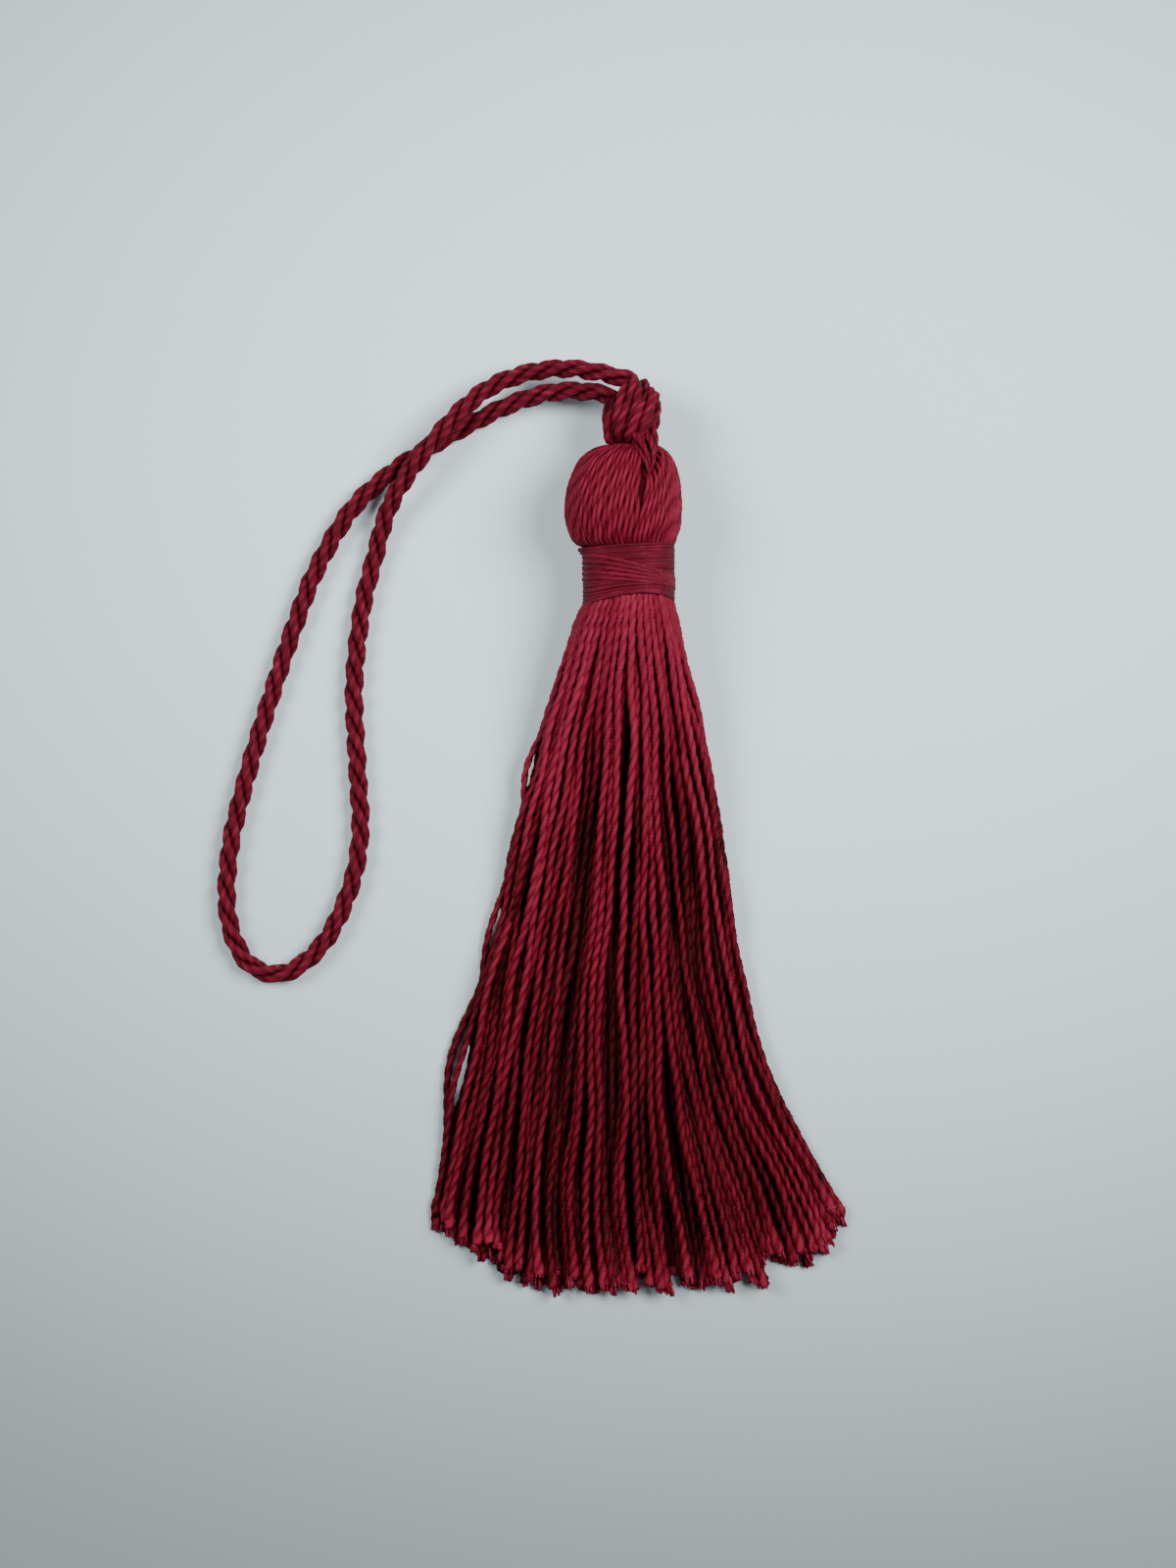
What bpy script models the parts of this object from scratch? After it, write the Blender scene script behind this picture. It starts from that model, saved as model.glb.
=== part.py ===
import math

import bmesh
import bpy
import numpy as np
from mathutils.geometry import delaunay_2d_cdt

# Sizes are in millimetres, and every mesh is scaled to metres when it is made.
# The tassel lies on its back: the loop is towards +Y, the skirt towards -Y.
# The origin is on the floor, under the fattest part of the head.
MM = 0.001
GAP = 0.3

# Head: a hank of yarn folded over the cord, one raised column for each yarn
YARNS_AROUND = 46
YARN_RELIEF = 0.12
YARN_LEAN = -0.036
LEAN_FROM_Y = -3.5
# y, radius across, radius in height, axis x, axis z, relief of the yarns
HEAD_ROWS = (
    (5.75, 1.70, 1.70, 0.30, 5.20, 0.4),
    (5.55, 2.75, 2.65, 0.20, 5.20, 0.7),
    (5.05, 3.75, 3.60, 0.10, 5.20, 1.0),
    (4.20, 4.65, 4.50, 0.00, 5.20, 1.0),
    (2.80, 5.30, 5.15, -0.02, 5.20, 1.0),
    (1.20, 5.60, 5.45, -0.04, 5.20, 1.0),
    (-0.60, 5.62, 5.45, -0.04, 5.20, 1.0),
    (-1.90, 5.45, 5.25, 0.08, 5.20, 1.0),
    (-2.80, 5.05, 4.85, 0.20, 5.15, 1.0),
    (-3.25, 4.45, 4.30, 0.35, 5.05, 0.6),
    (-3.40, 3.82, 3.82, 0.52, 4.90, 0.0),
    (-9.20, 3.82, 3.82, 0.52, 4.90, 0.0),
)

# Neck wrap: turns of yarn wound tight round the neck
WRAP_TURNS = 9
WRAP_SIDES = 28
WRAP_TOP_Y = -3.95
WRAP_END_Y = -9.45
WRAP_RIDGE_RADIUS = 4.50
WRAP_VALLEY_RADIUS = 4.34
WRAP_BORE_RADIUS = 4.19
WRAP_TILT = 0.16

# Skirt strands, each with three sides, fused at their roots to the neck's end
STRAND_COUNT = 144
ROOT_REACH = 3.52
# y, left edge, right edge, flare to the right, thickness, underside, strand radius, roundness
SKIRT_ROWS = (
    (-9.20, -3.20, 4.24, 0.0, 7.44, 1.18, 0.21, 1.0),
    (-11.50, -4.75, 5.35, 0.0, 8.20, 0.75, 0.23, 1.0),
    (-16.00, -6.25, 6.50, 0.0, 7.60, 0.35, 0.25, 0.8),
    (-24.00, -9.05, 8.35, 0.0, 6.00, 0.0, 0.29, 0.3),
    (-34.00, -12.05, 10.05, 0.0, 4.80, 0.0, 0.32, 0.0),
    (-46.00, -14.60, 11.40, 0.5, 3.80, 0.0, 0.33, 0.0),
    (-57.00, -16.80, 12.70, 2.6, 3.10, 0.0, 0.34, 0.0),
    (-67.00, -18.50, 13.80, 7.0, 2.45, 0.0, 0.35, 0.0),
    (-76.50, -19.00, 14.60, 10.6, 2.10, 0.0, 0.35, 0.0),
)
FLARE_POWER = 1.5
EVENING = 0.15
STRAND_CLEARANCE = 0.05
SETTLE_ROUNDS = 400
SWAY = 0.10
CLUMP_SWAY = 0.15
# x and y of the cut ends' outline, from the left edge to the right
TIP_OUTLINE = (
    (-18.60, -69.60),
    (-14.80, -72.90),
    (-10.00, -75.60),
    (-2.50, -76.20),
    (6.00, -76.00),
    (13.20, -75.00),
    (15.80, -73.60),
    (20.40, -72.00),
    (22.20, -69.10),
)
TIP_UNEVENNESS = 0.9

# Knot: the doubled cord tied close above the head, a row for each pass that shows
KNOT_CENTRE = (0.5, 9.3, 5.2)
KNOT_CORE = (1.9, 2.4, 1.75)
KNOT_PASS_RADIUS = 0.74
KNOT_GRAIN = 0.42
KNOT_PASSES = {
    "top_bight_left": (
        (0.9, 11.2, 3.7), (0.8, 12.0, 5.0), (0.45, 11.8, 6.3), (0.05, 10.9, 7.0),
        (-0.45, 9.4, 7.1), (-0.85, 8.2, 6.4),
    ),
    "top_bight_right": (
        (1.9, 10.9, 3.7), (1.85, 11.8, 5.0), (1.6, 11.7, 6.2), (1.2, 10.9, 6.9),
        (0.6, 9.8, 6.9), (0.1, 8.9, 6.4),
    ),
    "diagonal_upper": (
        (2.3, 10.8, 4.3), (2.3, 11.2, 5.6), (1.9, 10.8, 6.9), (1.2, 9.8, 7.6),
        (0.1, 8.5, 7.5), (-0.8, 7.4, 6.6), (-1.2, 7.0, 5.2),
    ),
    "diagonal_lower": (
        (2.9, 9.9, 4.0), (3.05, 10.7, 5.2), (2.9, 10.5, 6.4), (2.3, 9.6, 7.2),
        (1.2, 8.2, 7.3), (0.4, 7.3, 6.6), (0.1, 7.1, 5.4),
    ),
    "right_side": ((2.3, 10.0, 5.2), (3.05, 9.0, 5.6), (2.75, 7.8, 5.9), (1.9, 7.2, 5.9)),
    "left_side": ((-0.5, 10.6, 5.6), (-1.0, 10.3, 6.2), (-1.6, 9.4, 6.4), (-2.0, 8.2, 6.0), (-1.7, 7.3, 5.0)),
    "left_edge": ((-1.4, 10.1, 4.8), (-2.0, 9.3, 5.0), (-2.2, 8.2, 4.8), (-1.6, 7.2, 4.6)),
    "back_upper": ((-1.8, 9.6, 4.2), (-0.8, 10.1, 3.3), (0.8, 9.9, 3.1), (2.4, 9.2, 3.8)),
    "back_lower": ((-1.9, 8.2, 4.1), (-0.7, 7.8, 3.3), (0.9, 8.1, 3.2), (2.4, 8.1, 4.2)),
    "leg_left": (
        (0.9, 8.0, 5.9), (1.2, 7.3, 6.9), (1.5, 6.3, 8.0), (1.9, 5.0, 8.9),
        (2.3, 3.8, 9.35), (2.55, 2.9, 9.35),
    ),
    "leg_right": (
        (2.4, 8.0, 5.7), (2.9, 7.3, 6.4), (3.05, 6.3, 7.4), (3.0, 5.0, 8.4),
        (2.85, 3.8, 9.0), (2.75, 3.0, 9.1),
    ),
}
LEG_CLEARANCE = KNOT_PASS_RADIUS + 0.46

# Hanging cord: three plies with an S twist, its route chosen by hand
CORD_RADIUS = 0.95
CORD_GROOVE_RADIUS = 0.74
CORD_PLIES = 3
CORD_LAY = 7.6
RINGS_PER_LAY = 8
CORD_ROUTE = (
    (-0.85, 12.58, 5.25), (-2.90, 13.05, 4.75), (-5.40, 13.40, 3.75), (-8.20, 13.25, 2.75),
    (-11.00, 12.55, 2.30), (-13.40, 11.35, 2.60), (-16.00, 9.10, 3.15), (-19.10, 5.55, 3.30),
    (-21.85, 1.70, 2.50), (-23.20, -1.30, 1.50), (-24.10, -4.60, 1.00), (-25.35, -9.70, 0.97),
    (-26.15, -17.30, 0.97), (-25.80, -25.80, 0.97), (-25.55, -31.50, 0.97), (-26.50, -36.80, 0.97),
    (-29.10, -42.20, 0.97), (-32.90, -45.15, 0.97), (-36.50, -44.10, 0.97), (-38.40, -39.60, 0.97),
    (-38.20, -33.00, 0.97), (-36.50, -25.80, 0.97), (-34.20, -18.20, 0.97), (-32.00, -11.60, 0.97),
    (-29.80, -5.90, 0.97), (-26.45, -0.20, 0.97), (-22.60, 3.40, 0.97), (-18.70, 6.00, 0.97),
    (-15.20, 8.00, 0.97), (-11.50, 9.85, 1.15), (-8.20, 10.95, 1.75), (-5.40, 11.20, 2.75),
    (-2.62, 10.78, 4.00),
)

BURGUNDY = (0.165, 0.012, 0.021, 1.0)
DARK_BURGUNDY = (0.105, 0.008, 0.014, 1.0)


def clear_scene():
    for item in list(bpy.data.objects):
        bpy.data.objects.remove(item, do_unlink=True)


def make_material(name, colour, roughness):
    material = bpy.data.materials.new(name)
    material.use_nodes = True
    surface = material.node_tree.nodes["Principled BSDF"]
    surface.inputs["Base Color"].default_value = colour
    surface.inputs["Roughness"].default_value = roughness
    surface.inputs["Metallic"].default_value = 0.0
    return material


def add_solid(name, points, faces, material):
    """Makes an object from points in millimetres, with its faces turned outward."""
    mesh = bpy.data.meshes.new(name)
    mesh.from_pydata((np.asarray(points) * MM).tolist(), [], faces)
    builder = bmesh.new()
    builder.from_mesh(mesh)
    bmesh.ops.recalc_face_normals(builder, faces=builder.faces)
    builder.to_mesh(mesh)
    builder.free()
    mesh.materials.append(material)
    mesh.shade_smooth()
    mesh.set_sharp_from_angle(angle=math.radians(50))
    solid = bpy.data.objects.new(name, mesh)
    bpy.context.scene.collection.objects.link(solid)
    return solid


def smooth_curve(route, step):
    """Points about one step apart on the Catmull-Rom curve through the route's points."""
    route = np.asarray(route, dtype=float)
    ends = np.vstack((2 * route[0] - route[1], route, 2 * route[-1] - route[-2]))
    fine = []
    for a, b, c, d in zip(ends[:-3], ends[1:-2], ends[2:-1], ends[3:]):
        t = np.linspace(0, 1, 24, endpoint=False)[:, None]
        fine.append(
            0.5 * (2 * b + (c - a) * t + (2 * a - 5 * b + 4 * c - d) * t**2
                   + (3 * b - a - 3 * c + d) * t**3)
        )
    fine = np.vstack((*fine, route[-1:]))
    travel = np.concatenate(([0], np.cumsum(np.linalg.norm(np.diff(fine, axis=0), axis=1))))
    count = max(2, round(travel[-1] / step) + 1)
    stops = np.linspace(0, travel[-1], count)
    return np.column_stack([np.interp(stops, travel, fine[:, axis]) for axis in range(3)])


def tube(path, radii, turn_per_ring=0.0):
    """Rings of points round a path, and the faces that join and close them.

    The radii are those of one ring's points, and each ring turns a little further than the last.
    """
    sides = len(radii)
    tangents = np.gradient(path, axis=0)
    tangents /= np.linalg.norm(tangents, axis=1)[:, None]
    across = np.zeros_like(path)
    across[0] = np.cross(tangents[0], (0.3, 0.2, 1.0))
    for ring in range(len(path)):
        start = across[ring - 1] if ring else across[0]
        across[ring] = start - tangents[ring] * np.dot(start, tangents[ring])
        across[ring] /= np.linalg.norm(across[ring])
    upward = np.cross(tangents, across)
    angles = np.linspace(0, 2 * math.pi, sides, endpoint=False)
    angles = angles + turn_per_ring * np.arange(len(path))[:, None]
    reach = np.asarray(radii)[None, :, None]
    points = path[:, None] + reach * (
        np.cos(angles)[..., None] * across[:, None] + np.sin(angles)[..., None] * upward[:, None]
    )
    faces = grid_faces(len(path), sides)
    faces.append(tuple(range(sides)))
    faces.append(tuple((len(path) - 1) * sides + side for side in range(sides)))
    return points.reshape(-1, 3), faces


def grid_faces(rings, sides, first=0):
    faces = []
    for ring in range(rings - 1):
        for side in range(sides):
            a = first + ring * sides + side
            b = first + ring * sides + (side + 1) % sides
            faces.append((a, b, b + sides, a + sides))
    return faces


def leg_centrelines():
    legs = [smooth_curve(KNOT_PASSES[name], 0.2) for name in ("leg_left", "leg_right")]
    return np.vstack(legs)


def head_rings():
    """Rings of the head and neck: raised columns that lean, flat on the floor, cleft by the legs."""
    legs = leg_centrelines()
    sides = 2 * YARNS_AROUND
    steps = np.linspace(0, 2 * math.pi, sides, endpoint=False)
    relief = np.where(np.arange(sides) % 2, -YARN_RELIEF, YARN_RELIEF)
    rings = []
    for y, across, height, axis_x, axis_z, relief_share in HEAD_ROWS:
        angles = steps + YARN_LEAN * (max(y, LEAN_FROM_Y) - LEAN_FROM_Y)
        scale = np.ones(sides)
        # A point too near a leg of the cord is pressed in along its radius.
        for _ in range(60):
            x = axis_x + scale * (across + relief * relief_share) * np.cos(angles)
            z = axis_z + scale * (height + relief * relief_share) * np.sin(angles)
            ring = np.column_stack((x, np.full(sides, y), np.maximum(z, 0)))
            nearest = np.linalg.norm(ring[:, None] - legs[None], axis=2).min(axis=1)
            scale = np.where(nearest < LEG_CLEARANCE, scale - 0.01, scale)
        rings.append(ring)
    return np.array(rings)


def strand_roots():
    """The strands' roots: rows of a triangular grid inside the neck's end."""
    spacing = math.sqrt(math.pi * ROOT_REACH**2 / STRAND_COUNT * 2 / math.sqrt(3))
    rows = np.arange(-12, 13)
    grid = []
    for row in rows:
        for column in rows:
            grid.append(((column + 0.5 * (row % 2)) * spacing, row * spacing * math.sqrt(3) / 2))
    grid = np.array(grid) + (0.11, 0.07)
    nearest = np.argsort(np.hypot(grid[:, 0], grid[:, 1]), kind="stable")[:STRAND_COUNT]
    return grid[np.sort(nearest)]


def skirt_across(row):
    """Where a row's strands lie across the skirt, for shares from -1 to 1."""
    share = np.linspace(-1, 1, 81)
    left, right, flare = row[1] + row[6], row[2] - row[6], row[3]
    spread = np.clip(share, 0, 1) ** FLARE_POWER
    return share, (left + right) / 2 + share * (right - left) / 2 + flare * spread


def settle(places, row, spacing):
    """Pushes strands apart until each pair is a spacing apart, inside the skirt's section."""
    thickness, underside, radius, roundness = row[4:8]
    share, across = skirt_across(row)
    floor = underside + radius / 2
    height = thickness - 1.5 * radius
    for _ in range(SETTLE_ROUNDS):
        offsets = places[:, None] - places[None]
        distances = np.linalg.norm(offsets, axis=2) + np.eye(len(places))
        overlaps = np.clip(spacing - distances, 0, None) * (1 - np.eye(len(places)))
        places = places + (offsets * (overlaps / distances * 0.4)[..., None]).sum(axis=1)
        places[:, 0] = np.clip(places[:, 0], across[0], across[-1])
        arch = np.sqrt(1 - np.interp(places[:, 0], across, share) ** 2)
        lowest = floor + height * roundness * 0.5 * (1 - arch)
        highest = floor + height * (0.5 + 0.5 * arch)
        places[:, 1] = np.clip(places[:, 1], lowest, highest)
    return places


def strand_paths():
    """Each strand's centres at the skirt's rows, and its end: an array strands x stations x 3."""
    chance = np.random.default_rng(11)
    phases = chance.uniform(0, 2 * math.pi, STRAND_COUNT)
    lift = chance.uniform(-1, 1, STRAND_COUNT)
    stations = []
    for row in SKIRT_ROWS:
        y, radius = row[0], row[6]
        share, across = skirt_across(row)
        floor, height = row[5] + radius / 2, row[4] - 1.5 * radius
        if not stations:
            middle = (across[0] + across[-1]) / 2
            places = strand_roots() + (middle, row[5] + row[4] / 2)
        else:
            depth = min(1.0, (SKIRT_ROWS[0][0] - y) / 20)
            # A round bundle has few strands at its sides, and a flat one has as many as anywhere.
            even = (level_share * np.sqrt(1 - level_share**2) + np.arcsin(level_share)) * 2 / math.pi
            level_share = level_share + EVENING * depth * (even - level_share)
            places = np.column_stack((np.interp(level_share, share, across), floor + height * rise))
            clumps = CLUMP_SWAY * np.sin(11 * level_share + y / 14)
            places[:, 0] += depth * (clumps + SWAY * np.sin(phases + y / 14))
            places = settle(places, row, 2 * radius + STRAND_CLEARANCE)
        level_share = np.interp(places[:, 0], across, share)
        rise = (places[:, 1] - floor) / height
        stations.append(np.column_stack((places[:, 0], np.full(STRAND_COUNT, y), places[:, 1])))
    paths = np.array(stations).transpose(1, 0, 2)
    outline_x, outline_y = np.array(TIP_OUTLINE).T
    ends = np.interp(paths[:, -1, 0], outline_x, outline_y) + TIP_UNEVENNESS * (0.3 + 0.7 * lift)
    last_y, before_y = SKIRT_ROWS[-1][0], SKIRT_ROWS[-2][0]
    along = np.clip((before_y - ends) / (before_y - last_y), 0.1, 1)[:, None]
    paths[:, -1] = paths[:, -2] + (paths[:, -1] - paths[:, -2]) * along
    return paths


def make_yarn_bundle(material):
    rings = head_rings()
    ring_count, sides = rings.shape[:2]
    points = list(rings.reshape(-1, 3))
    faces = grid_faces(ring_count, sides)
    crown = len(points)
    points.append(rings[0].mean(axis=0))
    faces += [(side, crown, (side + 1) % sides) for side in range(sides)]

    paths = strand_paths()
    radii = np.array([row[6] for row in SKIRT_ROWS])
    corner_angles = np.radians((90, 210, 330))
    corners = np.column_stack((np.cos(corner_angles), np.zeros(3), np.sin(corner_angles)))
    first_root = len(points)
    stations = paths.shape[1]
    for path in paths:
        first = len(points)
        points += list((path[:, None] + radii[:, None, None] * corners).reshape(-1, 3))
        faces += grid_faces(stations, 3, first)
        faces.append(tuple(first + (stations - 1) * 3 + corner for corner in range(3)))

    # The neck's end face is a flat sheet of triangles round the strands' roots.
    neck_ring = [(ring_count - 1) * sides + side for side in range(sides)]
    root_rings = [[first_root + strand * stations * 3 + corner for corner in range(3)]
                  for strand in range(STRAND_COUNT)]
    members = neck_ring + [point for ring in root_rings for point in ring]
    flat = [(points[member][0], points[member][2]) for member in members]
    outline = [(side, (side + 1) % sides) for side in range(sides)]
    holes = [(sides + 3 * strand + corner, sides + 3 * strand + (corner + 1) % 3)
             for strand in range(STRAND_COUNT) for corner in range(3)]
    sheet = delaunay_2d_cdt(flat, outline + holes, [], 0, 1e-6)
    origins = [source[0] for source in sheet[3]]
    for triangle in sheet[2]:
        kept = [origins[corner] for corner in triangle]
        strands = {(corner - sides) // 3 if corner >= sides else -1 for corner in kept}
        if len(strands) > 1 or -1 in strands:
            faces.append(tuple(members[corner] for corner in kept))
    return add_solid("yarn_bundle", points, faces, material)


def make_neck_wrap(material):
    """A ring with a raised turn for each winding, tilted a little on the neck."""
    rows = []
    levels = 2 * WRAP_TURNS + 1
    for level in range(levels):
        y = WRAP_TOP_Y + (WRAP_END_Y - WRAP_TOP_Y) * level / (levels - 1)
        rows.append((y, WRAP_RIDGE_RADIUS if level % 2 else WRAP_VALLEY_RADIUS))
    rows += [(WRAP_END_Y, WRAP_BORE_RADIUS), (WRAP_TOP_Y, WRAP_BORE_RADIUS)]
    axis_x, axis_z = HEAD_ROWS[-1][3:5]
    angles = np.linspace(0, 2 * math.pi, WRAP_SIDES, endpoint=False)
    points = []
    for y, radius in rows:
        x = axis_x + radius * np.cos(angles)
        z = axis_z + radius * np.sin(angles)
        points.append(np.column_stack((x, y - WRAP_TILT * np.cos(angles), z)))
    rings = len(points)
    points = np.vstack(points)
    faces = grid_faces(rings, WRAP_SIDES)
    last = (rings - 1) * WRAP_SIDES
    for side in range(WRAP_SIDES):
        after = (side + 1) % WRAP_SIDES
        faces.append((last + side, last + after, after, side))
    return add_solid("neck_wrap", points, faces, material)


def make_knot(material):
    """The knot's passes and a core inside them, merged into one lumpy solid."""
    points, faces = [], []
    for route in KNOT_PASSES.values():
        path = smooth_curve(route, 0.45)
        tube_points, tube_faces = tube(path, (KNOT_PASS_RADIUS,) * 10)
        faces += [tuple(len(points) + corner for corner in face) for face in tube_faces]
        points += list(tube_points)
    knot = add_solid("knot", points, faces, material)
    builder = bmesh.new()
    builder.from_mesh(knot.data)
    core = bmesh.ops.create_icosphere(builder, subdivisions=3, radius=1.0)
    bmesh.ops.scale(builder, verts=core["verts"], vec=np.array(KNOT_CORE) * MM)
    bmesh.ops.translate(builder, verts=core["verts"], vec=np.array(KNOT_CENTRE) * MM)
    builder.to_mesh(knot.data)
    builder.free()
    merge = knot.modifiers.new("merge", "REMESH")
    merge.mode = "VOXEL"
    merge.voxel_size = KNOT_GRAIN * MM
    return knot


def make_hanging_cord(material):
    """One tube along the loop's route, its plies raised and turning with the lay."""
    path = smooth_curve(CORD_ROUTE, CORD_LAY / RINGS_PER_LAY)
    radii = (CORD_RADIUS, CORD_GROOVE_RADIUS) * CORD_PLIES
    points, faces = tube(path, radii, -2 * math.pi / CORD_PLIES / RINGS_PER_LAY * CORD_PLIES)
    return add_solid("hanging_cord", points, faces, material)


clear_scene()
silky_yarn = make_material("silky_burgundy_yarn", BURGUNDY, 0.45)
bound_yarn = make_material("tight_burgundy_yarn", DARK_BURGUNDY, 0.55)
twisted_cord = make_material("twisted_burgundy_cord", BURGUNDY, 0.5)
make_yarn_bundle(silky_yarn)
make_neck_wrap(bound_yarn)
make_knot(twisted_cord)
make_hanging_cord(twisted_cord)
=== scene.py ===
# A burgundy yarn tassel with a twisted hanging loop, lying on its back on a pale floor.
# Sizes are in millimetres and are turned to metres when a mesh is made.
# +Y runs up the picture from the skirt's tips to the knot, and the floor is at zero height.
import math

import bpy
import numpy as np
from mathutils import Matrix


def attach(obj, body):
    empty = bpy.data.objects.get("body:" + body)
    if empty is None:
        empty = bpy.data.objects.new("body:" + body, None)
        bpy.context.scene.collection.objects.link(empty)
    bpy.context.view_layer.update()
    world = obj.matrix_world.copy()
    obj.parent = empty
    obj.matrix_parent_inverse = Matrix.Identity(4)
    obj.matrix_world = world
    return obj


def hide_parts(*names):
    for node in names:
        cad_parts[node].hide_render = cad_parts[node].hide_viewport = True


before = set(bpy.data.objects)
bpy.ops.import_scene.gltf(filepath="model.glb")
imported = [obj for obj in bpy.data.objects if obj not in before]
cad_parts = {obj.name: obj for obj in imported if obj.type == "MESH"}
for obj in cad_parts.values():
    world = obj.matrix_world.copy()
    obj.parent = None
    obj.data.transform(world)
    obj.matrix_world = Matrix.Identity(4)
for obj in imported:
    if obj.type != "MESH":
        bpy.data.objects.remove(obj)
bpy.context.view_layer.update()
mm = 0.001
print("frame loaded", sorted(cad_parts))

picture = {
    "size": (1200, 1600),
    "pixel": 0.095,          # real width of one picture pixel at the floor
    "origin": (636, 518),    # the pixel of the model's origin
    "distance": 620.0,
    "focusHeight": 2.5,      # the height at which the pixel size holds
}


def makeCamera():
    wide, tall = picture["size"]
    x = (wide / 2 - picture["origin"][0]) * picture["pixel"]
    y = (picture["origin"][1] - tall / 2) * picture["pixel"]
    data = bpy.data.cameras.new("above_floor")
    data.sensor_width = 36.0
    reach = picture["distance"] - picture["focusHeight"]
    data.lens = data.sensor_width * reach / (tall * picture["pixel"])
    data.clip_start = 0.01
    camera = bpy.data.objects.new("above_floor", data)
    camera.location = (x * mm, y * mm, picture["distance"] * mm)
    bpy.context.scene.collection.objects.link(camera)
    bpy.context.scene.camera = camera


makeCamera()
print("camera placed")


# Colours and nodes

def linear(hexColour):
    # sRGB hex to linear light: (c + 0.055) / 1.055 to the power 2.4, or c / 12.92 when dark
    channels = [int(hexColour[i:i + 2], 16) / 255 for i in (0, 2, 4)]
    return tuple(c / 12.92 if c <= 0.04045 else ((c + 0.055) / 1.055) ** 2.4 for c in channels) + (1.0,)


def addNode(tree, kind, settings=None, links=None):
    # One node: a setting is an input's value if an input has that name, or else the node's own
    node = tree.nodes.new(kind)
    for key, value in (settings or {}).items():
        if isinstance(key, int) or key in node.inputs:
            node.inputs[key].default_value = value
        else:
            setattr(node, key, value)
    for key, source in (links or {}).items():
        tree.links.new(source, node.inputs[key])
    return node


def startMaterial(name):
    material = bpy.data.materials.new(name)
    material.use_nodes = True
    tree = material.node_tree
    return material, tree, tree.nodes["Principled BSDF"]


def flossMaterial(name, look):
    # Twisted satin floss: long parallel filaments, and broad streaks along each ply that paint a satin
    # sheen.
    # "fibre" holds the place round and along a ply in mm, "tone" each point's shade: the thread's own
    # tone plus painted light and painted shade.
    material, tree, surface = startMaterial(name)
    fibre = addNode(tree, "ShaderNodeAttribute", {"attribute_name": "fibre"})
    tone = addNode(tree, "ShaderNodeAttribute", {"attribute_name": "tone"})
    filaments = addNode(
        tree, "ShaderNodeTexNoise",
        {"Scale": 1.0 / look["filamentWidth"], "Detail": 2.0, "Roughness": 0.6},
        {"Vector": fibre.outputs["Vector"]},
    )
    # Painted sheen: broad streaks of light and shade along the fibres
    paintedSheenStreaks = addNode(
        tree, "ShaderNodeTexNoise",
        {"Scale": 1.0 / look["streakWidth"], "Detail": 1.0},
        {"Vector": fibre.outputs["Vector"]},
    )
    # Each pattern moves the shade both ways: depth * (pattern - 0.5)
    paintedSheenPart, filamentPart = [
        addNode(
            tree, "ShaderNodeMath", {"operation": "MULTIPLY_ADD", 1: depth, 2: -0.5 * depth},
            {0: pattern.outputs["Fac"]},
        )
        for pattern, depth in ((paintedSheenStreaks, look["streakDepth"]), (filaments, look["filamentDepth"]))
    ]
    both = addNode(
        tree, "ShaderNodeMath", {"operation": "ADD"},
        {0: paintedSheenPart.outputs[0], 1: filamentPart.outputs[0]},
    )
    shade = addNode(
        tree, "ShaderNodeMath", {"operation": "ADD", "use_clamp": True},
        {0: tone.outputs["Fac"], 1: both.outputs[0]},
    )
    ramp = addNode(tree, "ShaderNodeValToRGB", {}, {"Fac": shade.outputs[0]})
    ramp.color_ramp.elements[0].color = linear(look["deep"])
    ramp.color_ramp.elements[1].color = linear(look["bright"])
    middle = ramp.color_ramp.elements.new(0.5)
    middle.color = linear(look["middle"])
    bump = addNode(
        tree, "ShaderNodeBump",
        {"Strength": look["bump"], "Distance": look["bumpDepth"] * mm},
        {"Height": filaments.outputs["Fac"]},
    )
    tree.links.new(ramp.outputs["Color"], surface.inputs["Base Color"])
    tree.links.new(bump.outputs["Normal"], surface.inputs["Normal"])
    surface.inputs["Roughness"].default_value = look["roughness"]
    surface.inputs["IOR"].default_value = 1.5
    surface.inputs["Specular IOR Level"].default_value = look["specular"]
    return material


# Viscose floss, two plies, crimson: the ramp runs from a near-black used for painted shade (deep) through
# the dye's own colours (middle, bright), under a soft satin gleam
skirtLook = {
    "deep": "280205", "middle": "560918", "bright": "7c2034",
    "roughness": 0.55, "specular": 0.04, "bump": 0.5, "bumpDepth": 0.03,
    "filamentWidth": 0.10, "filamentDepth": 0.30, "streakWidth": 0.4, "streakDepth": 0.30,
}
# The same floss wound flat and tight, so it looks smoother and a shade darker
wrapLook = dict(
    skirtLook, deep="28030a", middle="520b1b", bright="7c2038", roughness=0.6, specular=0.06,
    filamentWidth=0.13, filamentDepth=0.6, streakWidth=0.5, streakDepth=0.4,
)
# Three-ply cord of the same fibre, duller than the floss
cordLook = dict(
    skirtLook, deep="240206", middle="560b1c", bright="8a2840", roughness=0.7, specular=0.06,
    filamentDepth=0.45, streakWidth=0.3, streakDepth=0.55,
)
# Inside yarn drawn near-black as painted shade, seen only between the outer threads
shadedInnerLook = dict(
    skirtLook, deep="240307", middle="32050c", bright="3e0810", roughness=0.8, specular=0.03,
)

skirtFloss = flossMaterial("satin_viscose_floss", skirtLook)
wrapFloss = flossMaterial("tight_wound_viscose_floss", wrapLook)
cordFibre = flossMaterial("three_ply_viscose_cord", cordLook)
shadedInnerFloss = flossMaterial("painted_shade_inner_floss", shadedInnerLook)
print("materials made")


# Meshes from arrays

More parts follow.
